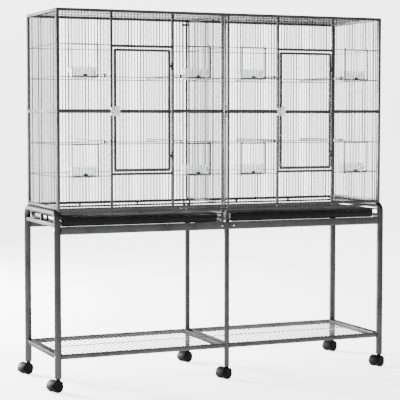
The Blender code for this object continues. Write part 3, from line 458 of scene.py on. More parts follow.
def front_panel(side, sign):
    bm = new()
    y0, y1 = FRONT_Y - HALF_T, FRONT_Y + HALF_T
    tube(bm, sign, HALF_W - TUBE, HALF_W, y0, y1, BOT0, TOP)
    tube(bm, sign, *SLOT[sign], y0, y0 + SLOT_DEEP, BOT0, TOP)
    tube(bm, sign, MEET, HALF_W - 0.001, y0 + 0.0001, y1 - 0.0001, TOP0, TOP - 0.0001)
    tube(bm, sign, MEET, HALF_W - 0.001, y0 + 0.0001, y1 - 0.0001, BOT0 + 0.0001, BOT1)
    for x in POSTS[sign]:
        tube(bm, sign, x - POST_HALF, x + POST_HALF, y0 + 0.0002, y1 - 0.0002, BOT1 - 0.002, TOP0 + 0.002)
    tube(bm, sign, POSTS[sign][0], HALF_W - TUBE + 0.002, y0 + 0.0004, y1 - 0.0004, MID0, MID1)
    tube(bm, sign, SLOT[sign][0] + 0.0005, POSTS[sign][1], y0 + 0.0004, y1 - 0.0004, MID0, MID1)
    base_parts(bm, sign, y0, y1)
    for z, half in ((HEADER, HEADER_HALF), (SILL, SILL_HALF)):
        tube(bm, sign, POSTS[sign][1], POSTS[sign][0], FRONT_Y - 0.0045, FRONT_Y + 0.0045, z - half, z + half, 0.0007)
    wire_y = FRONT_Y - WIRE_OUT
    row_y = wire_y + 2 * WIRE - 0.0002
    for (m0, m1), feeder in zip(((POSTS[sign][0] + POST_HALF, HALF_W - TUBE), (SLOT[sign][1], POSTS[sign][1] - POST_HALF)), feeder_centres(sign)):
        for x in wire_places(m0, m1):
            x *= sign
            if abs(x - feeder) < FEEDER_W / 2 - 0.004:
                for z0, z1 in ((ROWS[0], TOP0 + 0.003), (ROWS[2], ROWS[1]), (BOT1 - 0.003, ROWS[3])):
                    bar(bm, (x, wire_y, z0 - 0.0012), (x, wire_y, z1 + 0.0012), WIRE, 8, 1)
            else:
                bar(bm, (x, wire_y, BOT1 - 0.003), (x, wire_y, TOP0 + 0.003), WIRE, 8, 1)
        a, b = span(sign, m0 - 0.003, m1 + 0.003)
        for z in ROWS:
            bar(bm, (a, row_y, z), (b, row_y, z), WIRE, 8, 1)
        # Bars round the feeder opening.
        for _, z0, z1 in LEVELS:
            for s in (-1, 1):
                x = feeder + s * 0.0560
                bar(bm, (x, row_y + 0.0002, z0 - 0.0100), (x, row_y + 0.0002, z1 + 0.0100), 0.0016, 8, 1)
    for x in wire_places(POSTS[sign][1] + POST_HALF, POSTS[sign][0] - POST_HALF):
        x *= sign
        bar(bm, (x, FRONT_Y - 0.0005, HEADER), (x, FRONT_Y - 0.0005, TOP0 + 0.003), WIRE, 8, 1)
        bar(bm, (x, FRONT_Y - 0.0005, BOT1 - 0.003), (x, FRONT_Y - 0.0005, SILL), WIRE, 8, 1)
    # Hinges: knuckles, pins and leaves on the post.
    hinge_x = hinge_line(sign)
    axis_y = -HALF_D - HINGE_OUT
    for z in HINGE_Z:
        for s in (-1, 1):
            z0, z1 = sorted((z + s * 0.0063, z + s * 0.0160))
            bar(bm, (hinge_x, axis_y, z0), (hinge_x, axis_y, z1), HINGE_R, 16, 0, 0.15)
            block(bm, (hinge_x + 0.0008, axis_y - 0.0007, z0 + 0.0004), (hinge_x + 0.0105, -HALF_D + 0.0010, z1 - 0.0004), 0.0006)
        bar(bm, (hinge_x, axis_y, z - 0.0175), (hinge_x, axis_y, z + 0.0175), 0.0016, 12, 3)
    # Keeper for the latch.
    post = door_posts(sign)[0]
    block(bm, (post - 0.0056, -HALF_D - 0.0012, DOOR_MID - 0.0180), (post + 0.0056, -HALF_D + 0.0006, DOOR_MID - 0.0060), 0.0004, 1, 2)
    block(bm, (post - 0.0056, -HALF_D - 0.0012, DOOR_MID + 0.0060), (post + 0.0056, -HALF_D + 0.0006, DOOR_MID + 0.0180), 0.0004, 1, 2)
    for s in (-1, 1):
        z0, z1 = sorted((DOOR_MID + s * 0.0062, DOOR_MID + s * 0.0120))
        block(bm, (post - 0.0050, -HALF_D - 0.0056, z0), (post + 0.0050, -HALF_D, z1), 0.0010, 2, 2)
        bar(bm, (post, -HALF_D - 0.0022, DOOR_MID + s * 0.0150), (post, -HALF_D, DOOR_MID + s * 0.0150), 0.0018, 10, 3)
    finish_piece("front_panel_%s_wirework" % side, bm, COATED, "cage", ("front_panel_" + side,))


def back_panel(side, sign):
    bm = new()
    y0, y1 = BACK_Y - HALF_T, BACK_Y + HALF_T
    tube(bm, sign, HALF_W - TUBE, HALF_W, y0, y1, BOT0, TOP)
    tube(bm, sign, *SLOT_BACK[sign], y1 - SLOT_DEEP, y1, BOT0, TOP)
    tube(bm, sign, MEET, HALF_W - 0.001, y0 + 0.0001, y1 - 0.0001, TOP0, TOP - 0.0001)
    tube(bm, sign, MEET, HALF_W - 0.001, y0 + 0.0001, y1 - 0.0001, BOT0 + 0.0001, BOT1)
    tube(bm, sign, SLOT_BACK[sign][1] - 0.002, HALF_W - TUBE + 0.002, y0 + 0.0004, y1 - 0.0004, MID0, MID1)
    base_parts(bm, sign, y0, y1)
    wire_y = BACK_Y + WIRE_OUT
    for x in wire_places(SLOT_BACK[sign][1], HALF_W - TUBE):
        x *= sign
        bar(bm, (x, wire_y, BOT1 - 0.003), (x, wire_y, TOP0 + 0.003), WIRE, 8, 1)
    a, b = span(sign, SLOT_BACK[sign][1] - 0.003, HALF_W - TUBE + 0.003)
    for z in ROWS:
        bar(bm, (a, wire_y - 2 * WIRE + 0.0002, z), (b, wire_y - 2 * WIRE + 0.0002, z), WIRE, 8, 1)
    if sign < 0:
        # Clip near the top that reaches across the slot behind the other bay's stile.
        block(bm, (-0.0300, y1 + 0.0005, CLIP_Z[0]), (0.0115, y1 + 0.0050, CLIP_Z[1]), 0.0012, 3, 4)
        block(bm, (-0.0275, y1 - 0.0010, CLIP_Z[0] + 0.0005), (-0.0217, y1 + 0.0020, CLIP_Z[1] - 0.0005), 0.0008, 2, 4)
        bar(bm, (-0.0246, y1 + 0.0020, MID_CLIP), (-0.0246, y1 + 0.0050, MID_CLIP), 0.0022, 12, 3)
    finish_piece("back_panel_%s_wirework" % side, bm, COATED, "cage", ("back_panel_" + side,))


SIDE_Y = HALF_D - TUBE - 0.0003


def side_panel(side, sign):
    bm = new()
    z0 = LEG_TOP + 0.0005
    inner = SIDE_Y - 0.006
    tube(bm, sign, HALF_W - TUBE, HALF_W, -SIDE_Y, -inner, z0, TOP, 0.0010)
    tube(bm, sign, HALF_W - TUBE, HALF_W, inner, SIDE_Y, z0, TOP, 0.0010)
    for a, b in ((z0, z0 + TUBE), (MID0, MID1), (TOP0, TOP)):
        tube(bm, sign, HALF_W - TUBE + 0.0001, HALF_W - 0.0001, -SIDE_Y + 0.0005, SIDE_Y - 0.0005, a, b)
    wire_x = sign * (CORNER_X + WIRE_OUT)
    for y in wire_places(-inner, inner):
        bar(bm, (wire_x, y, z0 + TUBE - 0.003), (wire_x, y, TOP0 + 0.003), SIDE_WIRE, 8, 1)
    row_x = wire_x - sign * (2 * SIDE_WIRE - 0.0002)
    for z in ROWS:
        bar(bm, (row_x, -inner - 0.002, z), (row_x, inner + 0.002, z), SIDE_WIRE, 8, 1)
    finish_piece("side_panel_%s_wirework" % side, bm, COATED, "cage", ("side_panel_" + side,))


def roof_panel(side, sign):
    bm = new()
    x0, x1 = MEET + 0.0003, HALF_W - TUBE - 0.0004
    y1 = HALF_D - TUBE - 0.0004
    rail, slim = 0.010, 0.0055
    z0, z1 = TOP - 0.0105, TOP - 0.0005
    tube(bm, sign, x0, x0 + slim, -y1, y1, z0 + 0.0015, z0 + 0.0085)
    tube(bm, sign, x1 - rail, x1, -y1, y1, z0, z1)
    tube(bm, sign, x0 + 0.001, x1 - 0.001, -y1, -y1 + rail, z0 + 0.0001, z1 - 0.0001)
    tube(bm, sign, x0 + 0.001, x1 - 0.001, y1 - rail, y1, z0 + 0.0001, z1 - 0.0001)
    z = (z0 + z1) / 2 + 0.0015
    for x in wire_places(x0 + slim, x1 - rail):
        bar(bm, (sign * x, -y1 + rail - 0.003, z), (sign * x, y1 - rail + 0.003, z), ROOF_WIRE, 8, 1)
    a, b = span(sign, x0 + slim - 0.003, x1 - rail + 0.003)
    for y in (-y1 / 3, y1 / 3):
        bar(bm, (a, y, z - 2 * ROOF_WIRE + 0.0002), (b, y, z - 2 * ROOF_WIRE + 0.0002), ROOF_WIRE, 8, 1)
    finish_piece("roof_panel_%s_wirework" % side, bm, COATED, "cage", ("roof_panel_" + side,))


def centre_divider():
    bm = new()
    x0, x1 = DIVIDER_X
    middle = (x0 + x1) / 2
    z0, z1 = BOT1 + 0.0006, TOP0 - 0.0006
    y1 = HALF_D
    block(bm, (x0, -y1, z0), (x1, -y1 + TUBE, z1), 0.0007)
    block(bm, (x0, y1 - TUBE, z0), (x1, y1, z1), 0.0007)
    for a, b, right_face in ((z0, z0 + 0.0080, x1), (MID - 0.0040, MID + 0.0040, middle + 0.0005), (z1 - 0.0045, z1, x1)):
        block(bm, (x0 + 0.0001, -y1 + 0.001, a), (right_face - 0.0001, y1 - 0.001, b), 0.0012)
    wire_x = middle + 0.0021
    for y in wire_places(-y1 + TUBE, y1 - TUBE):
        bar(bm, (wire_x, y, z0 + 0.0060), (wire_x, y, z1 - 0.0020), SIDE_WIRE, 8, 1)
    for z in ROWS:
        bar(bm, (wire_x - 2 * SIDE_WIRE + 0.0002, -y1 + TUBE - 0.003, z), (wire_x - 2 * SIDE_WIRE + 0.0002, y1 - TUBE + 0.003, z), SIDE_WIRE, 8, 1)
    # Bent wire pull on the front stile.
    pull = [(middle, -y1 + 0.004, MID + 0.023)]
    pull += [(middle, -y1 - 0.0085 + dy, MID + 0.0175 + dz) for dy, dz in arc(0, 0, 0.0055, 90, 180, 6)]
    pull += [(middle, -y1 - 0.0085 + dy, MID - 0.0175 + dz) for dy, dz in arc(0, 0, 0.0055, 180, 270, 6)]
    pull += [(middle, -y1 + 0.004, MID - 0.023)]
    path_bar(bm, pull, 0.0020, 10, 1)
    finish_piece("centre_divider_wirework", bm, COATED, "divider", ("centre_divider",))


# ---------------------------------------------------------------- doors
def rounded_frame(bm, x0, x1, z0, z1, y0, y1, radius=0.008):
    """Square tube bent into one closed frame with rounded outer corners."""
    steps = 5
    outer, inner = [], []
    for cx, cz, start in ((x1 - radius, z1 - radius, 0), (x0 + radius, z1 - radius, 90), (x0 + radius, z0 + radius, 180), (x1 - radius, z0 + radius, 270)):
        outer += arc(cx, cz, radius, start, start + 90, steps)
        inner += arc(cx, cz, 0.0006, start, start + 90, steps)
    # Move the inner ring's corners to the tube's inner face.
    shift = DOOR_TUBE - radius
    for n in range(len(inner)):
        quarter = n // (steps + 1)
        sx = (-1, 1, 1, -1)[quarter]
        sz = (-1, -1, 1, 1)[quarter]
        inner[n] = (inner[n][0] + sx * shift, inner[n][1] + sz * shift)
    b = 0.0007
    rings = []
    for ring, towards in ((outer, 1), (inner, -1)):
        cx, cz = (x0 + x1) / 2, (z0 + z1) / 2
        for y, inset in ((y0, b), (y0 + b * 0.3, b * 0.3), (y0 + b, 0), (y1 - b, 0), (y1 - b * 0.3, b * 0.3), (y1, b)):
            verts = []
            for n, (x, z) in enumerate(ring):
                quarter = n // (steps + 1)
                a = math.radians(90 * quarter + 90 * (n % (steps + 1)) / steps)
                verts.append(bm.verts.new((x - towards * inset * math.cos(a), y, z - towards * inset * math.sin(a))))
            rings.append(verts)
    count = len(outer)
    chain = rings[:6] + list(reversed(rings[6:]))
    for k in range(len(chain)):
        a, c = chain[k], chain[(k + 1) % len(chain)]
        for n in range(count):
            m = (n + 1) % count
            bm.faces.new((a[n], a[m], c[m], c[n]))


def main_door(side, sign):
    left, right = door_edges(sign)
    y0, y1 = FRONT_Y - HALF_T, FRONT_Y + HALF_T
    z0, z1 = DOOR_Z
    mid0, mid1 = DOOR_MID - MID_HALF, DOOR_MID + MID_HALF
    bm = new()
    rounded_frame(bm, left, right, z0, z1, y0, y1)
    block(bm, (left + DOOR_TUBE - 0.002, y0 + 0.0003, mid0), (right - DOOR_TUBE + 0.002, y1 - 0.0003, mid1), 0.0007)
    wire_y = FRONT_Y - WIRE_OUT
    for x in wire_places(left + DOOR_TUBE, right - DOOR_TUBE):
        bar(bm, (x, wire_y, z0 + DOOR_TUBE - 0.003), (x, wire_y, z1 - DOOR_TUBE + 0.003), WIRE, 8, 1)
    for z in ROWS[1:3]:
        row_y = wire_y + 2 * WIRE - 0.0002
        bar(bm, (left + DOOR_TUBE - 0.003, row_y, z), (right - DOOR_TUBE + 0.003, row_y, z), WIRE, 8, 1)
    hinge_x, axis_y = hinge_line(sign), -HALF_D - HINGE_OUT
    for z in HINGE_Z:
        bar(bm, (hinge_x, axis_y, z - 0.0060), (hinge_x, axis_y, z + 0.0060), HINGE_R, 16, 0, 0.15)
        block(bm, (right - 0.0105, axis_y - 0.0007, z - 0.0056), (hinge_x - 0.0008, -HALF_D + 0.0010, z + 0.0056), 0.0006)
    finish_piece("main_door_%s_wirework" % side, bm, COATED, "door_" + side, ("main_door_" + side,))


def door_latch(side, sign):
    """Bright latch plate, its whiteness partly plating and partly a painted glint, with a low bowed edge, its tongue,
    thumb piece and bent spring wire.
    """
    left, _ = door_edges(sign)
    post = door_posts(sign)[0]
    face = -HALF_D - 0.0003
    x0, x1 = left + 0.0010, left + 0.0250
    z0, z1 = DOOR_MID - 0.0225, DOOR_MID + 0.0225
    bm = new()
    r = 0.0080
    outline = arc(x1 - r, z1 - r, r, 0, 90, 8) + arc(x0 + r, z1 - r, r, 90, 180, 8)
    outline += arc(x0 + r, z0 + r, r, 180, 270, 8) + arc(x1 - r, z0 + r, r, 270, 360, 8)
    cx, cz = (x0 + x1) / 2, DOOR_MID
    for inset, depth, at in ((1.0, 0.0022, 0.0011), (0.93, 0.0026, 0.0013), (0.80, 0.0030, 0.0015)):
        smaller = [(cx + (x - cx) * inset, cz + (z - cz) * inset) for x, z in outline]
        turn = Matrix(((1, 0, 0, 0), (0, 0, -1, face - at), (0, 1, 0, 0), (0, 0, 0, 1)))
        sheet_shape(bm, smaller, turn, depth, 0)
    block(bm, (post - 0.0060, face - 0.0028, DOOR_MID - 0.0045), (x0 + 0.0100, face - 0.0004, DOOR_MID + 0.0045), 0.0007, 2, 0)
    block(bm, (x0 + 0.0095, face - 0.0100, DOOR_MID - 0.0180), (x0 + 0.0145, face - 0.0025, DOOR_MID - 0.0030), 0.0020, 3, 0)
    # Pressed groove that bends down across the plate, dark at the bottom.
    groove = [(x0 + 0.0070 + 0.0022 * math.sin(2.2 * v) + 0.0012 * v, face - 0.0032, cz + 0.0190 - 0.0220 * v) for v in (0.0, 0.2, 0.4, 0.6, 0.8, 1.0)]
    path_bar(bm, groove, 0.0006, 8, 1)
    for z in (z0 + 0.0030, z1 - 0.0030):
        bar(bm, (cx + 0.0015, face - 0.0034, z), (cx + 0.0015, face - 0.0005, z), 0.0022, 14, 2, 0.3)
    finish_piece("door_latch_%s_plate" % side, bm, [PLATE_PAINTED_GLINT, BOLT, CAP], "latch_" + side, ("door_latch_" + side,), 30.0)


def feeder_door(side, where, level, centre, z0, z1):
    a, b = centre - FEEDER_W / 2, centre + FEEDER_W / 2
    y = FRONT_Y - WIRE_OUT - 0.0013 - 0.0004 - 0.0014
    lo, hi = z0 - 0.0020, z1 + 0.0020
    bm = new()
    bar(bm, (a, y - 0.0006, lo + 0.0030), (b, y - 0.0006, lo + 0.0030), 0.0030, 12, 0)
    bar(bm, (a, y - 0.0006, hi - 0.0027), (b, y - 0.0006, hi - 0.0027), 0.0027, 12, 0)
    for x in (a + 0.0017, b - 0.0017):
        bar(bm, (x, y - 0.0002, lo + 0.0010), (x, y - 0.0002, hi - 0.0006), 0.0017, 10, 0)
    for x in wire_places(a + 0.0030, b - 0.0030):
        bar(bm, (x, y, lo + 0.0020), (x, y, hi - 0.0016), 0.0011, 8, 1)
    # Lifting tab in the middle of the lower bar.
    block(bm, (centre - 0.0090, y - 0.0014, lo + 0.0030), (centre + 0.0090, y - 0.0003, lo + 0.0140), 0.0005, 2, 0)
    finish_piece(
        "feeder_door_%s_%s_%s_wirework" % (side, where, level), bm, COATED,
        "feeder_%s_%s_%s" % (side, where, level), ("feeder_door_%s_%s_%s" % (side, where, level),),
    )


def feeder_cup(side, where, level, centre, z0):
    """Thin moulded cup with rounded corners, a turned rim and a hanging ledge."""
    w, d, h = CUP
    y0 = -HALF_D + TUBE + 0.0012
    cy = y0 + d / 2
    bm = new()

    def loop(inset, z, lean):
        x0, x1 = centre - w / 2 + inset + lean * 0.005, centre + w / 2 - inset - lean * 0.005
        f, b = y0 + inset, y0 + d - inset - lean * 0.010
        r = 0.009 - min(inset, 0.003)
        ring = []
        for px, py, start in ((x1 - r, b - r, 0), (x0 + r, b - r, 90), (x0 + r, f + r, 180), (x1 - r, f + r, 270)):
            ring += arc(px, py, r, start, start + 90, 5)
        return [bm.verts.new((x, y, z)) for x, y in ring]

    rings = [
        loop(0.0060, z0, 1.0),
        loop(0.0015, z0 + 0.0008, 1.0),
        loop(0.0004, z0 + 0.0030, 0.95),
        loop(0.0014, z0 + h - 0.0050, 0.05),
        loop(0.0000, z0 + h - 0.0046, 0.0),
        loop(0.0000, z0 + h - 0.0006, 0.0),
        loop(0.0006, z0 + h, 0.0),
        loop(0.0026, z0 + h - 0.0004, 0.0),
        loop(0.0032, z0 + h - 0.0030, 0.05),
        loop(0.0026, z0 + 0.0050, 0.95),
        loop(0.0050, z0 + 0.0024, 1.0),
    ]
    count = len(rings[0])
    for a, b in zip(rings, rings[1:]):
        for n in range(count):
            m = (n + 1) % count
            bm.faces.new((a[n], a[m], b[m], b[n]))
    bm.faces.new(list(reversed(rings[0])))
    bm.faces.new(rings[-1])
    block(bm, (centre - 0.0300, -HALF_D + 0.0054, z0 + 0.0082), (centre + 0.0300, y0 + 0.0015, z0 + 0.0102), 0.0006)
    finish_piece(
        "feeder_cup_%s_%s_%s_moulding" % (side, where, level), bm, [CUPS], "cage",
        ("feeder_cup_%s_%s_%s" % (side, where, level),), 50.0,
    )


def perch(name, x, z):
    """Ribbed dowel with a dark cap at each end."""
    bm = new()
    matrix = Matrix.Translation((x, 0, z)) @ Matrix.Rotation(math.radians(90), 4, "X")
    posts = [sign * post for sign in POSTS for post in POSTS[sign]]
    front = HALF_D - TUBE - 0.0006 if min(abs(x - post) for post in posts) < POST_HALF + 0.004 else PERCH_END
    body = PERCH_BODY - 0.0060
    profile = [(0.0, -body), (PERCH_R * 0.93, -body)]
    count = 60
    for n in range(count + 1):
        h = -body + 2 * body * n / count
        profile.append((PERCH_R * (0.965 if n % 2 else 0.925), h))
    profile += [(PERCH_R * 0.93, body), (0.0, body)]
    turned(bm, profile, matrix, 16, 0)
    for s, end in ((-1, PERCH_END), (1, front)):
        tip = end - 0.0003
        ends = [(0.0, s * (body - 0.004)), (PERCH_R, s * (body - 0.004)), (PERCH_R, s * (PERCH_BODY - 0.0010)), (PERCH_R * 0.82, s * PERCH_BODY), (0.0027, s * PERCH_BODY), (0.0027, s * (tip - 0.0006)), (0.0021, s * tip), (0.0, s * tip)]
        turned(bm, ends, matrix, 20, 1)
    finish_piece(name + "_dowel", bm, [PERCH, CAP], "cage", (name,), 35.0)


# ---------------------------------------------------------------- trays and grilles
def tray(side, x0, x1):
    z0, z1 = TRAY_Z
    y0, y1 = -LEG_Y - 0.0100, LEG_Y + 0.0090
    t = 0.0014
    bm = new()

    def loop(inset, z, radius):
        ring = []
        a, b, c, d = x0 + inset, x1 - inset, y0 + inset, y1 - inset
        for px, py, start in ((b - radius, d - radius, 0), (a + radius, d - radius, 90), (a + radius, c + radius, 180), (b - radius, c + radius, 270)):
            ring += arc(px, py, radius, start, start + 90, 5)
        return [bm.verts.new((x, y, z)) for x, y in ring]

    rings = [
        loop(0.0120, z0, 0.006),
        loop(0.0060, z0 + 0.0003, 0.008),
        loop(0.0020, z0 + 0.0040, 0.009),
        loop(0.0010, z1 - 0.0040, 0.009),
        loop(0.0000, z1 - 0.0036, 0.010),
        loop(0.0000, z1 - 0.0006, 0.010),
        loop(0.0006, z1, 0.010),
        loop(0.0022, z1, 0.009),
        loop(0.0026, z1 - 0.0010, 0.008),
        loop(0.0034, z0 + 0.0050, 0.008),
        loop(0.0074, z0 + 0.0003 + t, 0.007),
        loop(0.0134, z0 + t, 0.006),
    ]
    count = len(rings[0])
    for a, b in zip(rings, rings[1:]):
        for n in range(count):
            m = (n + 1) % count
            bm.faces.new((a[n], a[m], b[m], b[n]))
    bm.faces.new(list(reversed(rings[0])))
    bm.faces.new(rings[-1])
    # Rolled pull along the front edge.
    pull = [(x0 + 0.012, y0 + 0.001, z1 - 0.0032), (x1 - 0.012, y0 + 0.001, z1 - 0.0032)]
    bar(bm, (pull[0][0], y0 - 0.0012, z1 - 0.0030), (pull[1][0], y0 - 0.0012, z1 - 0.0030), 0.0028, 12, 0)
    finish_piece("tray_%s_pan" % side, bm, [PAN], "tray_%s_body" % side, ("tray_" + side,), 50.0)


def floor_grille(side, sign):
    x0, x1 = GRILLES_X[sign]
    y0, y1 = -LEG_Y - 0.0100, LEG_Y + 0.0090
    z0, z1 = GRILLE_Z
    r = 0.0024
    z = (z0 + z1) / 2
    bm = new()
    a, b = span(sign, x0, x1)
    corner = 0.010
    loop = []
    for px, py, start in ((b - corner, y1 - corner, 0), (a + corner, y1 - corner, 90), (a + corner, y0 + corner, 180), (b - corner, y0 + corner, 270)):
        loop += arc(px, py, corner - r, start, start + 90, 4)
    path_bar(bm, [(x, y, z) for x, y in loop], r, 10, 1, True)
    for x in wire_places(x0 + 0.005, x1 - 0.005, PITCH):
        bar(bm, (sign * x, y0 + 0.002, z + 0.0006), (sign * x, y1 - 0.002, z + 0.0006), 0.0011, 8, 1)
    for y in (-0.15, 0.0, 0.15):
        bar(bm, (a + 0.002, y, z - 0.0014), (b - 0.002, y, z - 0.0014), 0.0010, 8, 1)
    finish_piece("floor_grille_%s_wirework" % side, bm, GRILLE_SHADED, "grille_%s_body" % side, ("floor_grille_" + side,))


# ---------------------------------------------------------------- stand
def end_frame(side, sign):
    x = sign * LEG_X
    top = LEG_TOP - LEG_R
    bm = new()
    path = [(-LEG_Y, LEG_FOOT + 0.004)]
    path += [(-LEG_Y + BEND_R + dy, top - BEND_R + dz) for dy, dz in arc(0, 0, BEND_R, 180, 90, 10)]
    path += [(LEG_Y - BEND_R + dy, top - BEND_R + dz) for dy, dz in arc(0, 0, BEND_R, 90, 0, 10)]
    path += [(LEG_Y, LEG_FOOT + 0.004)]
    path_bar(bm, [(x, y, z) for y, z in path], LEG_R + 0.0010, 24)
    reach = LEG_Y - 0.004
    block(bm, (x - 0.0080, -reach, SIDE_BAR_Z[0]), (x + 0.0080, reach, SIDE_BAR_Z[1]), 0.0020)
    block(bm, (x - 0.0060, -0.0070, SIDE_BAR_Z[1] - 0.002), (x + 0.0060, 0.0070, top), 0.0020)
    out = LEG_X + LEG_R
    for y in (-LEG_Y, LEG_Y):
        # Foot cap that holds the caster's stem.
        turned(bm, [(0.0, LEG_FOOT), (LEG_R * 0.8, LEG_FOOT), (LEG_R * 1.0, LEG_FOOT + 0.0015), (LEG_R * 1.02, LEG_FOOT + 0.0060), (LEG_R * 0.95, LEG_FOOT + 0.0070), (0.0, LEG_FOOT + 0.0070)], Matrix.Translation((x, y, 0)), 24, 4)
        for z in (0.6905, 0.1490):
            turn = Matrix.Translation((sign * (out - 0.0012), y, z)) @ Matrix.Rotation(sign * math.radians(90), 4, "Y")
            turned(bm, [(0.0, 0.0), (0.0056, 0.0), (0.0056, 0.0009), (0.0048, 0.0022), (0.0030, 0.0034), (0.0016, 0.0036), (0.0014, 0.0024), (0.0, 0.0024)], turn, 16, 3)
    finish_piece("stand_end_frame_%s_tube" % side, bm, STAND_SHADED, "cage", ("stand_end_frame_" + side,))


def centre_frame():
    bm = new()
    top = BASE0 - 0.0004
    for y in (-LEG_Y, LEG_Y):
        path_bar(bm, [(0, y, LEG_FOOT + 0.003), (0, y, RAIL_Z[0] - 0.0003)], MID_LEG_R + 0.0007, 24)
        turned(bm, [(0.0, LEG_FOOT), (MID_LEG_R * 0.85, LEG_FOOT), (MID_LEG_R * 1.03, LEG_FOOT + 0.0012), (MID_LEG_R * 1.03, LEG_FOOT + 0.0060), (0.0, LEG_FOOT + 0.0066)], Matrix.Translation((0, y, 0)), 24, 4)
    for s in (-1, 1):
        a, b = sorted((s * (LEG_Y + 0.0001), s * (LEG_Y - MID_LEG_R)))
        block(bm, (-0.0100, a, RAIL_Z[0] - 0.020), (0.0100, b, RAIL_Z[0] + 0.002), 0.0016)
        block(bm, (FORK_X[0][0], a, RAIL_Z[0]), (FORK_X[1][1], b, RAIL_Z[1]), 0.0016)
        for x0, x1 in FORK_X:
            block(bm, (x0, a + 0.0001, RAIL_Z[1] - 0.003), (x1, b - 0.0001, top), 0.0014)
    block(bm, (-0.0060, -LEG_Y + MID_LEG_R - 0.002, RAIL_Z[0] + 0.004), (0.0060, LEG_Y - MID_LEG_R + 0.002, RAIL_Z[1] - 0.003), 0.0016)
    finish_piece("stand_centre_frame_tube", bm, STAND_SHADED, "cage", ("stand_centre_frame",))


def stand_rail(name, side):
    x1 = LEG_X - LEG_R - 0.0004
    y0, y1 = sorted((side * (LEG_Y + 0.0006), side * (LEG_Y + 0.0125)))
    bm = new()
    block(bm, (-x1, y0, RAIL_Z[0]), (x1, y1, RAIL_Z[1]), 0.0010, 3)
    for x in RAIL_BOLTS:
        turn = Matrix.Translation((x, side * (LEG_Y + 0.0118), (RAIL_Z[0] + RAIL_Z[1]) / 2)) @ Matrix.Rotation(-side * math.radians(90), 4, "X")
        turned(bm, [(0.0, 0.0), (0.0043, 0.0), (0.0043, 0.0012), (0.0037, 0.0022), (0.0022, 0.0030), (0.0012, 0.0031), (0.0011, 0.0020), (0.0, 0.0020)], turn, 16, 3)
    finish_piece(name + "_tube", bm, COATED, "cage", (name,))


def shelf(side, sign):
    z0, z1 = SHELF_Z
    outer, inner = 0.7722, 0.0114
    rail, ry0, ry1 = 0.012, 0.2234, 0.2354
    bm = new()
    tube(bm, sign, inner, outer, -ry1, -ry0, z0, z1, 0.0010)
    tube(bm, sign, inner, outer, ry0, ry1, z0, z1, 0.0010)
    tube(bm, sign, inner, inner + rail, -ry0 - 0.001, ry0 + 0.001, z0 + 0.0002, z1 - 0.0002, 0.0010)
    tube(bm, sign, outer - rail, outer, -ry0 - 0.001, ry0 + 0.001, z0 + 0.0002, z1 - 0.0002, 0.0010)
    tube(bm, sign, outer - 0.003, 0.7937, -0.2150, 0.2150, z0, z1, 0.0010)
    z = z1 - 0.0016
    for x in wire_places(inner + rail, outer - rail, SHELF_PITCH):
        bar(bm, (sign * x, -ry0 - 0.006, z), (sign * x, ry0 + 0.006, z), 0.0018, 8, 1)
    a, b = span(sign, inner + rail - 0.003, outer - rail + 0.003)
    bar(bm, (a, 0.0, z - 0.0026), (b, 0.0, z - 0.0026), 0.0016, 8, 1)
    finish_piece("shelf_%s_wirework" % side, bm, STAND_SHADED, "cage", ("shelf_" + side,))


# ---------------------------------------------------------------- casters
def caster_frame(x, y):
    trail = Vector((-math.cos(CASTER_YAW), -math.sin(CASTER_YAW), 0))
    up = Vector((0, 0, 1))
    axle = trail.cross(up)
    centre = Vector((x, y, WHEEL_R)) + TRAIL * trail
    m = Matrix.Identity(4)
    for k, v in enumerate((trail, up, axle)):
        m.col[k] = (*v, 0.0)
    m.col[3] = (*centre, 1.0)
    return m


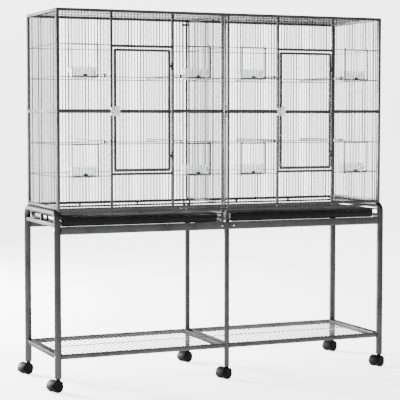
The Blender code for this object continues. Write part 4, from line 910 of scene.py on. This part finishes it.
def caster(key, x, y):
    m = caster_frame(x, y)
    w = CASTER_HALF
    bm = new()
    # Hood: an arched shell over both wheels with rounded shoulders.
    inner, outer = WHEEL_R + 0.0016, HOOD_R
    steps, start, end = 18, -20, 155
    stations = ((-w, outer - 0.0024), (-w + 0.0008, outer - 0.0008), (-w + 0.0026, outer), (w - 0.0026, outer), (w - 0.0008, outer - 0.0008), (w, outer - 0.0024), (w, inner), (-w, inner))
    sections = []
    for n in range(steps + 1):
        a = math.radians(start + (end - start) * n / steps)
        sections.append([bm.verts.new(m @ Vector((r * math.cos(a), r * math.sin(a), h))) for h, r in stations])
    count = len(stations)
    for a, b in zip(sections, sections[1:]):
        for k in range(count):
            j = (k + 1) % count
            bm.faces.new((a[k], a[j], b[j], b[k]))
    bm.faces.new(list(reversed(sections[0])))
    bm.faces.new(sections[-1])
    # Web between the wheels.
    web = arc(0, 0, HOOD_R - 0.0006, -25, 180, 22) + [(-0.0200, -0.0030), (-0.0080, -0.0080), (0.0080, -0.0090)]
    sheet_shape(bm, web, m, 0.0100, 0)
    # Boss and stem up into the leg.
    turned(bm, [(0.0, 0.0380), (0.0085, 0.0380), (0.0092, 0.0500), (0.0088, 0.0530), (0.0056, 0.0532), (0.0052, LEG_FOOT - 0.0004), (0.0, LEG_FOOT - 0.0004)], Matrix.Translation((x, y, 0)), 20, 0)
    finish_piece("caster_housing_%s_moulding" % key, bm, [MOULDED, BOLT], "caster_" + key, ("caster_housing_" + key,))
    bm = new()
    r = WHEEL_R
    for s in (-1, 1):
        ring = [
            (0.0, 0.0070), (0.0090, 0.0070), (0.0100, 0.0085), (r * 0.84, 0.0085), (r * 0.90, 0.0074), (r * 0.975, 0.0080), (r, 0.0104),
            (r, w - 0.0034), (r * 0.985, w - 0.0014), (r * 0.93, w - 0.0002), (r * 0.86, w - 0.0006), (r * 0.82, w - 0.0026),
            (r * 0.52, w - 0.0034), (r * 0.46, w - 0.0012), (r * 0.20, w - 0.0006), (r * 0.12, w - 0.0016), (0.0, w - 0.0016),
        ]
        turned(bm, [(a, s * b) for a, b in ring], m, 36, 0)
    turned(bm, [(0.0, -0.0062), (0.0035, -0.0062), (0.0035, 0.0062), (0.0, 0.0062)], m, 14, 1)
    finish_piece("caster_wheels_%s_pair" % key, bm, [RUBBER, BOLT], "wheels_" + key, ("caster_wheels_" + key,))


# ---------------------------------------------------------------- the whole cage
for side, sign in (("left", -1), ("right", 1)):
    front_panel(side, sign)
    back_panel(side, sign)
    side_panel(side, sign)
    roof_panel(side, sign)
    main_door(side, sign)
    door_latch(side, sign)
    for where, centre in zip(("outer", "inner"), feeder_centres(sign)):
        for level, lo, hi in LEVELS:
            feeder_door(side, where, level, centre, lo, hi)
            feeder_cup(side, where, level, centre, lo - 0.0065)
    floor_grille(side, sign)
    shelf(side, sign)
    end_frame(side, sign)
centre_divider()
for side, (x0, x1) in zip(("left", "right"), TRAYS_X):
    tray(side, x0, x1)
for x, place in zip(PERCHES_X, ("left_outer", "left_inner", "right_inner", "right_outer")):
    for z, level in zip(PERCHES_Z, ("upper", "lower")):
        perch("perch_%s_%s" % (place, level), x, z)
centre_frame()
stand_rail("stand_front_rail", -1)
stand_rail("stand_back_rail", 1)
for where, y in (("front", -LEG_Y), ("back", LEG_Y)):
    for side, x in (("left", -LEG_X), ("centre", 0.0), ("right", LEG_X)):
        caster(where + "_" + side, x, y)

# ---------------------------------------------------------------- floor, light, camera
scene = bpy.context.scene
FLOOR_GLOW, WALL_GLOW = 0.40, 3.2
SKY_FRONT, SKY_BACK = 0.35, 1.2
LEFT_SHARE, RIGHT_SHARE = 0.35, 0.10
stage = Nodes("pale_stage", roughness=0.8)
stage.shader.inputs["Specular IOR Level"].default_value = 0.1
stage.link(stage.ramp(stage.noise(0.8, 2.0), ((0.3, (0.86, 0.86, 0.86)), (0.7, (0.88, 0.88, 0.88)))), stage.shader.inputs["Base Color"])
# The backdrop glows like a lit paper sweep, brighter towards the wall.
split = stage.node("ShaderNodeSeparateXYZ")
stage.link(stage.coords, split.inputs["Vector"])
glow = stage.node("ShaderNodeMapRange", interpolation_type="SMOOTHSTEP")
glow.inputs["From Min"].default_value = -2.2
glow.inputs["From Max"].default_value = -0.5
glow.inputs["To Min"].default_value = FLOOR_GLOW
glow.inputs["To Max"].default_value = WALL_GLOW
stage.link(split.outputs["Y"], glow.inputs["Value"])
stage.shader.inputs["Emission Color"].default_value = (1.0, 1.0, 1.0, 1.0)
# The lit strip of paper runs straight back behind the cage, with dimmer paper either side,
# so that round tubes keep dark edges.
across = stage.node("ShaderNodeMath", operation="MULTIPLY_ADD")
stage.link(split.outputs["Y"], across.inputs[0])
across.inputs[1].default_value = -math.tan(math.radians(23.0))
stage.link(split.outputs["X"], across.inputs[2])
right_edge = stage.node("ShaderNodeMapRange", interpolation_type="SMOOTHSTEP")
right_edge.inputs["From Min"].default_value = 2.7
right_edge.inputs["From Max"].default_value = 4.6
right_edge.inputs["To Min"].default_value = 1.0
right_edge.inputs["To Max"].default_value = RIGHT_SHARE
stage.link(across.outputs["Value"], right_edge.inputs["Value"])
left_edge = stage.node("ShaderNodeMapRange", interpolation_type="SMOOTHSTEP")
left_edge.inputs["From Min"].default_value = -4.6
left_edge.inputs["From Max"].default_value = -2.7
left_edge.inputs["To Min"].default_value = LEFT_SHARE
left_edge.inputs["To Max"].default_value = 1.0
stage.link(across.outputs["Value"], left_edge.inputs["Value"])
sides = stage.node("ShaderNodeMath", operation="MULTIPLY")
stage.link(right_edge.outputs["Result"], sides.inputs[0])
stage.link(left_edge.outputs["Result"], sides.inputs[1])
lit = stage.node("ShaderNodeMath", operation="MULTIPLY")
stage.link(glow.outputs["Result"], lit.inputs[0])
stage.link(sides.outputs["Value"], lit.inputs[1])
stage.link(lit.outputs["Value"], stage.shader.inputs["Emission Strength"])
bm = new()
profile = [(-9.0, 0.0), (6.0, 0.0)] + [(6.0 + 2.5 * math.sin(math.radians(a)), 2.5 - 2.5 * math.cos(math.radians(a))) for a in range(9, 90, 9)] + [(8.5, 2.5), (8.5, 9.0)]
columns = []
for x in (-12.0, 16.0):
    columns.append([bm.verts.new((x, y, z)) for y, z in profile])
for n in range(len(profile) - 1):
    bm.faces.new((columns[0][n], columns[1][n], columns[1][n + 1], columns[0][n + 1]))
mesh = bpy.data.meshes.new("stage")
bm.to_mesh(mesh)
bm.free()
mesh.materials.append(stage.mat)
mesh.shade_smooth()
floor = bpy.data.objects.new("stage", mesh)
scene.collection.objects.link(floor)

world = bpy.data.worlds.new("studio")
world.use_nodes = True
sky = world.node_tree
background = sky.nodes["Background"]
background.inputs["Color"].default_value = (1.0, 1.0, 1.0, 1.0)
ways = sky.nodes.new("ShaderNodeTexCoord")
parts = sky.nodes.new("ShaderNodeSeparateXYZ")
sky.links.new(ways.outputs["Generated"], parts.inputs["Vector"])
level = sky.nodes.new("ShaderNodeMapRange")
level.interpolation_type = "SMOOTHSTEP"
level.inputs["From Min"].default_value = -0.25
level.inputs["From Max"].default_value = 0.55
level.inputs["To Min"].default_value = SKY_FRONT
level.inputs["To Max"].default_value = SKY_BACK
sky.links.new(parts.outputs["Y"], level.inputs["Value"])
sky.links.new(level.outputs["Result"], background.inputs["Strength"])
scene.world = world


def area(name, place, target, size, power):
    light = bpy.data.lights.new(name, "AREA")
    light.shape = "RECTANGLE"
    light.size, light.size_y = size
    light.energy = power
    obj = bpy.data.objects.new(name, light)
    obj.location = place
    obj.rotation_euler = (Vector(target) - Vector(place)).to_track_quat("-Z", "Y").to_euler()
    scene.collection.objects.link(obj)


area("key", (-3.2, -4.2, 3.3), (0.0, 0.0, 0.9), (2.4, 2.4), 64.0)
area("left_box", (-3.0, 4.4, 1.2), (-0.8, 0.0, 0.7), (0.9, 2.8), 3600.0)
area("front_box", (2.9, -5.6, 1.5), (0.2, 0.0, 1.1), (1.6, 1.6), 24.0)

yaw, pitch = math.radians(23.058), math.radians(3.428)
forward = Vector((math.sin(yaw) * math.cos(pitch), math.cos(yaw) * math.cos(pitch), -math.sin(pitch)))
right = Vector((math.cos(yaw), -math.sin(yaw), 0.0))
up = right.cross(forward)
data = bpy.data.cameras.new("camera")
data.sensor_width = 36.0
data.lens = 121.96
data.clip_end = 100.0
camera = bpy.data.objects.new("camera", data)
matrix = Matrix.Identity(4)
for k, v in enumerate((right, up, -forward)):
    matrix.col[k] = (*v, 0.0)
matrix.col[3] = (*(Vector((-2.4701, -5.7270, 1.1617)) + SHIFT), 1.0)
camera.matrix_world = matrix
scene.collection.objects.link(camera)
scene.camera = camera
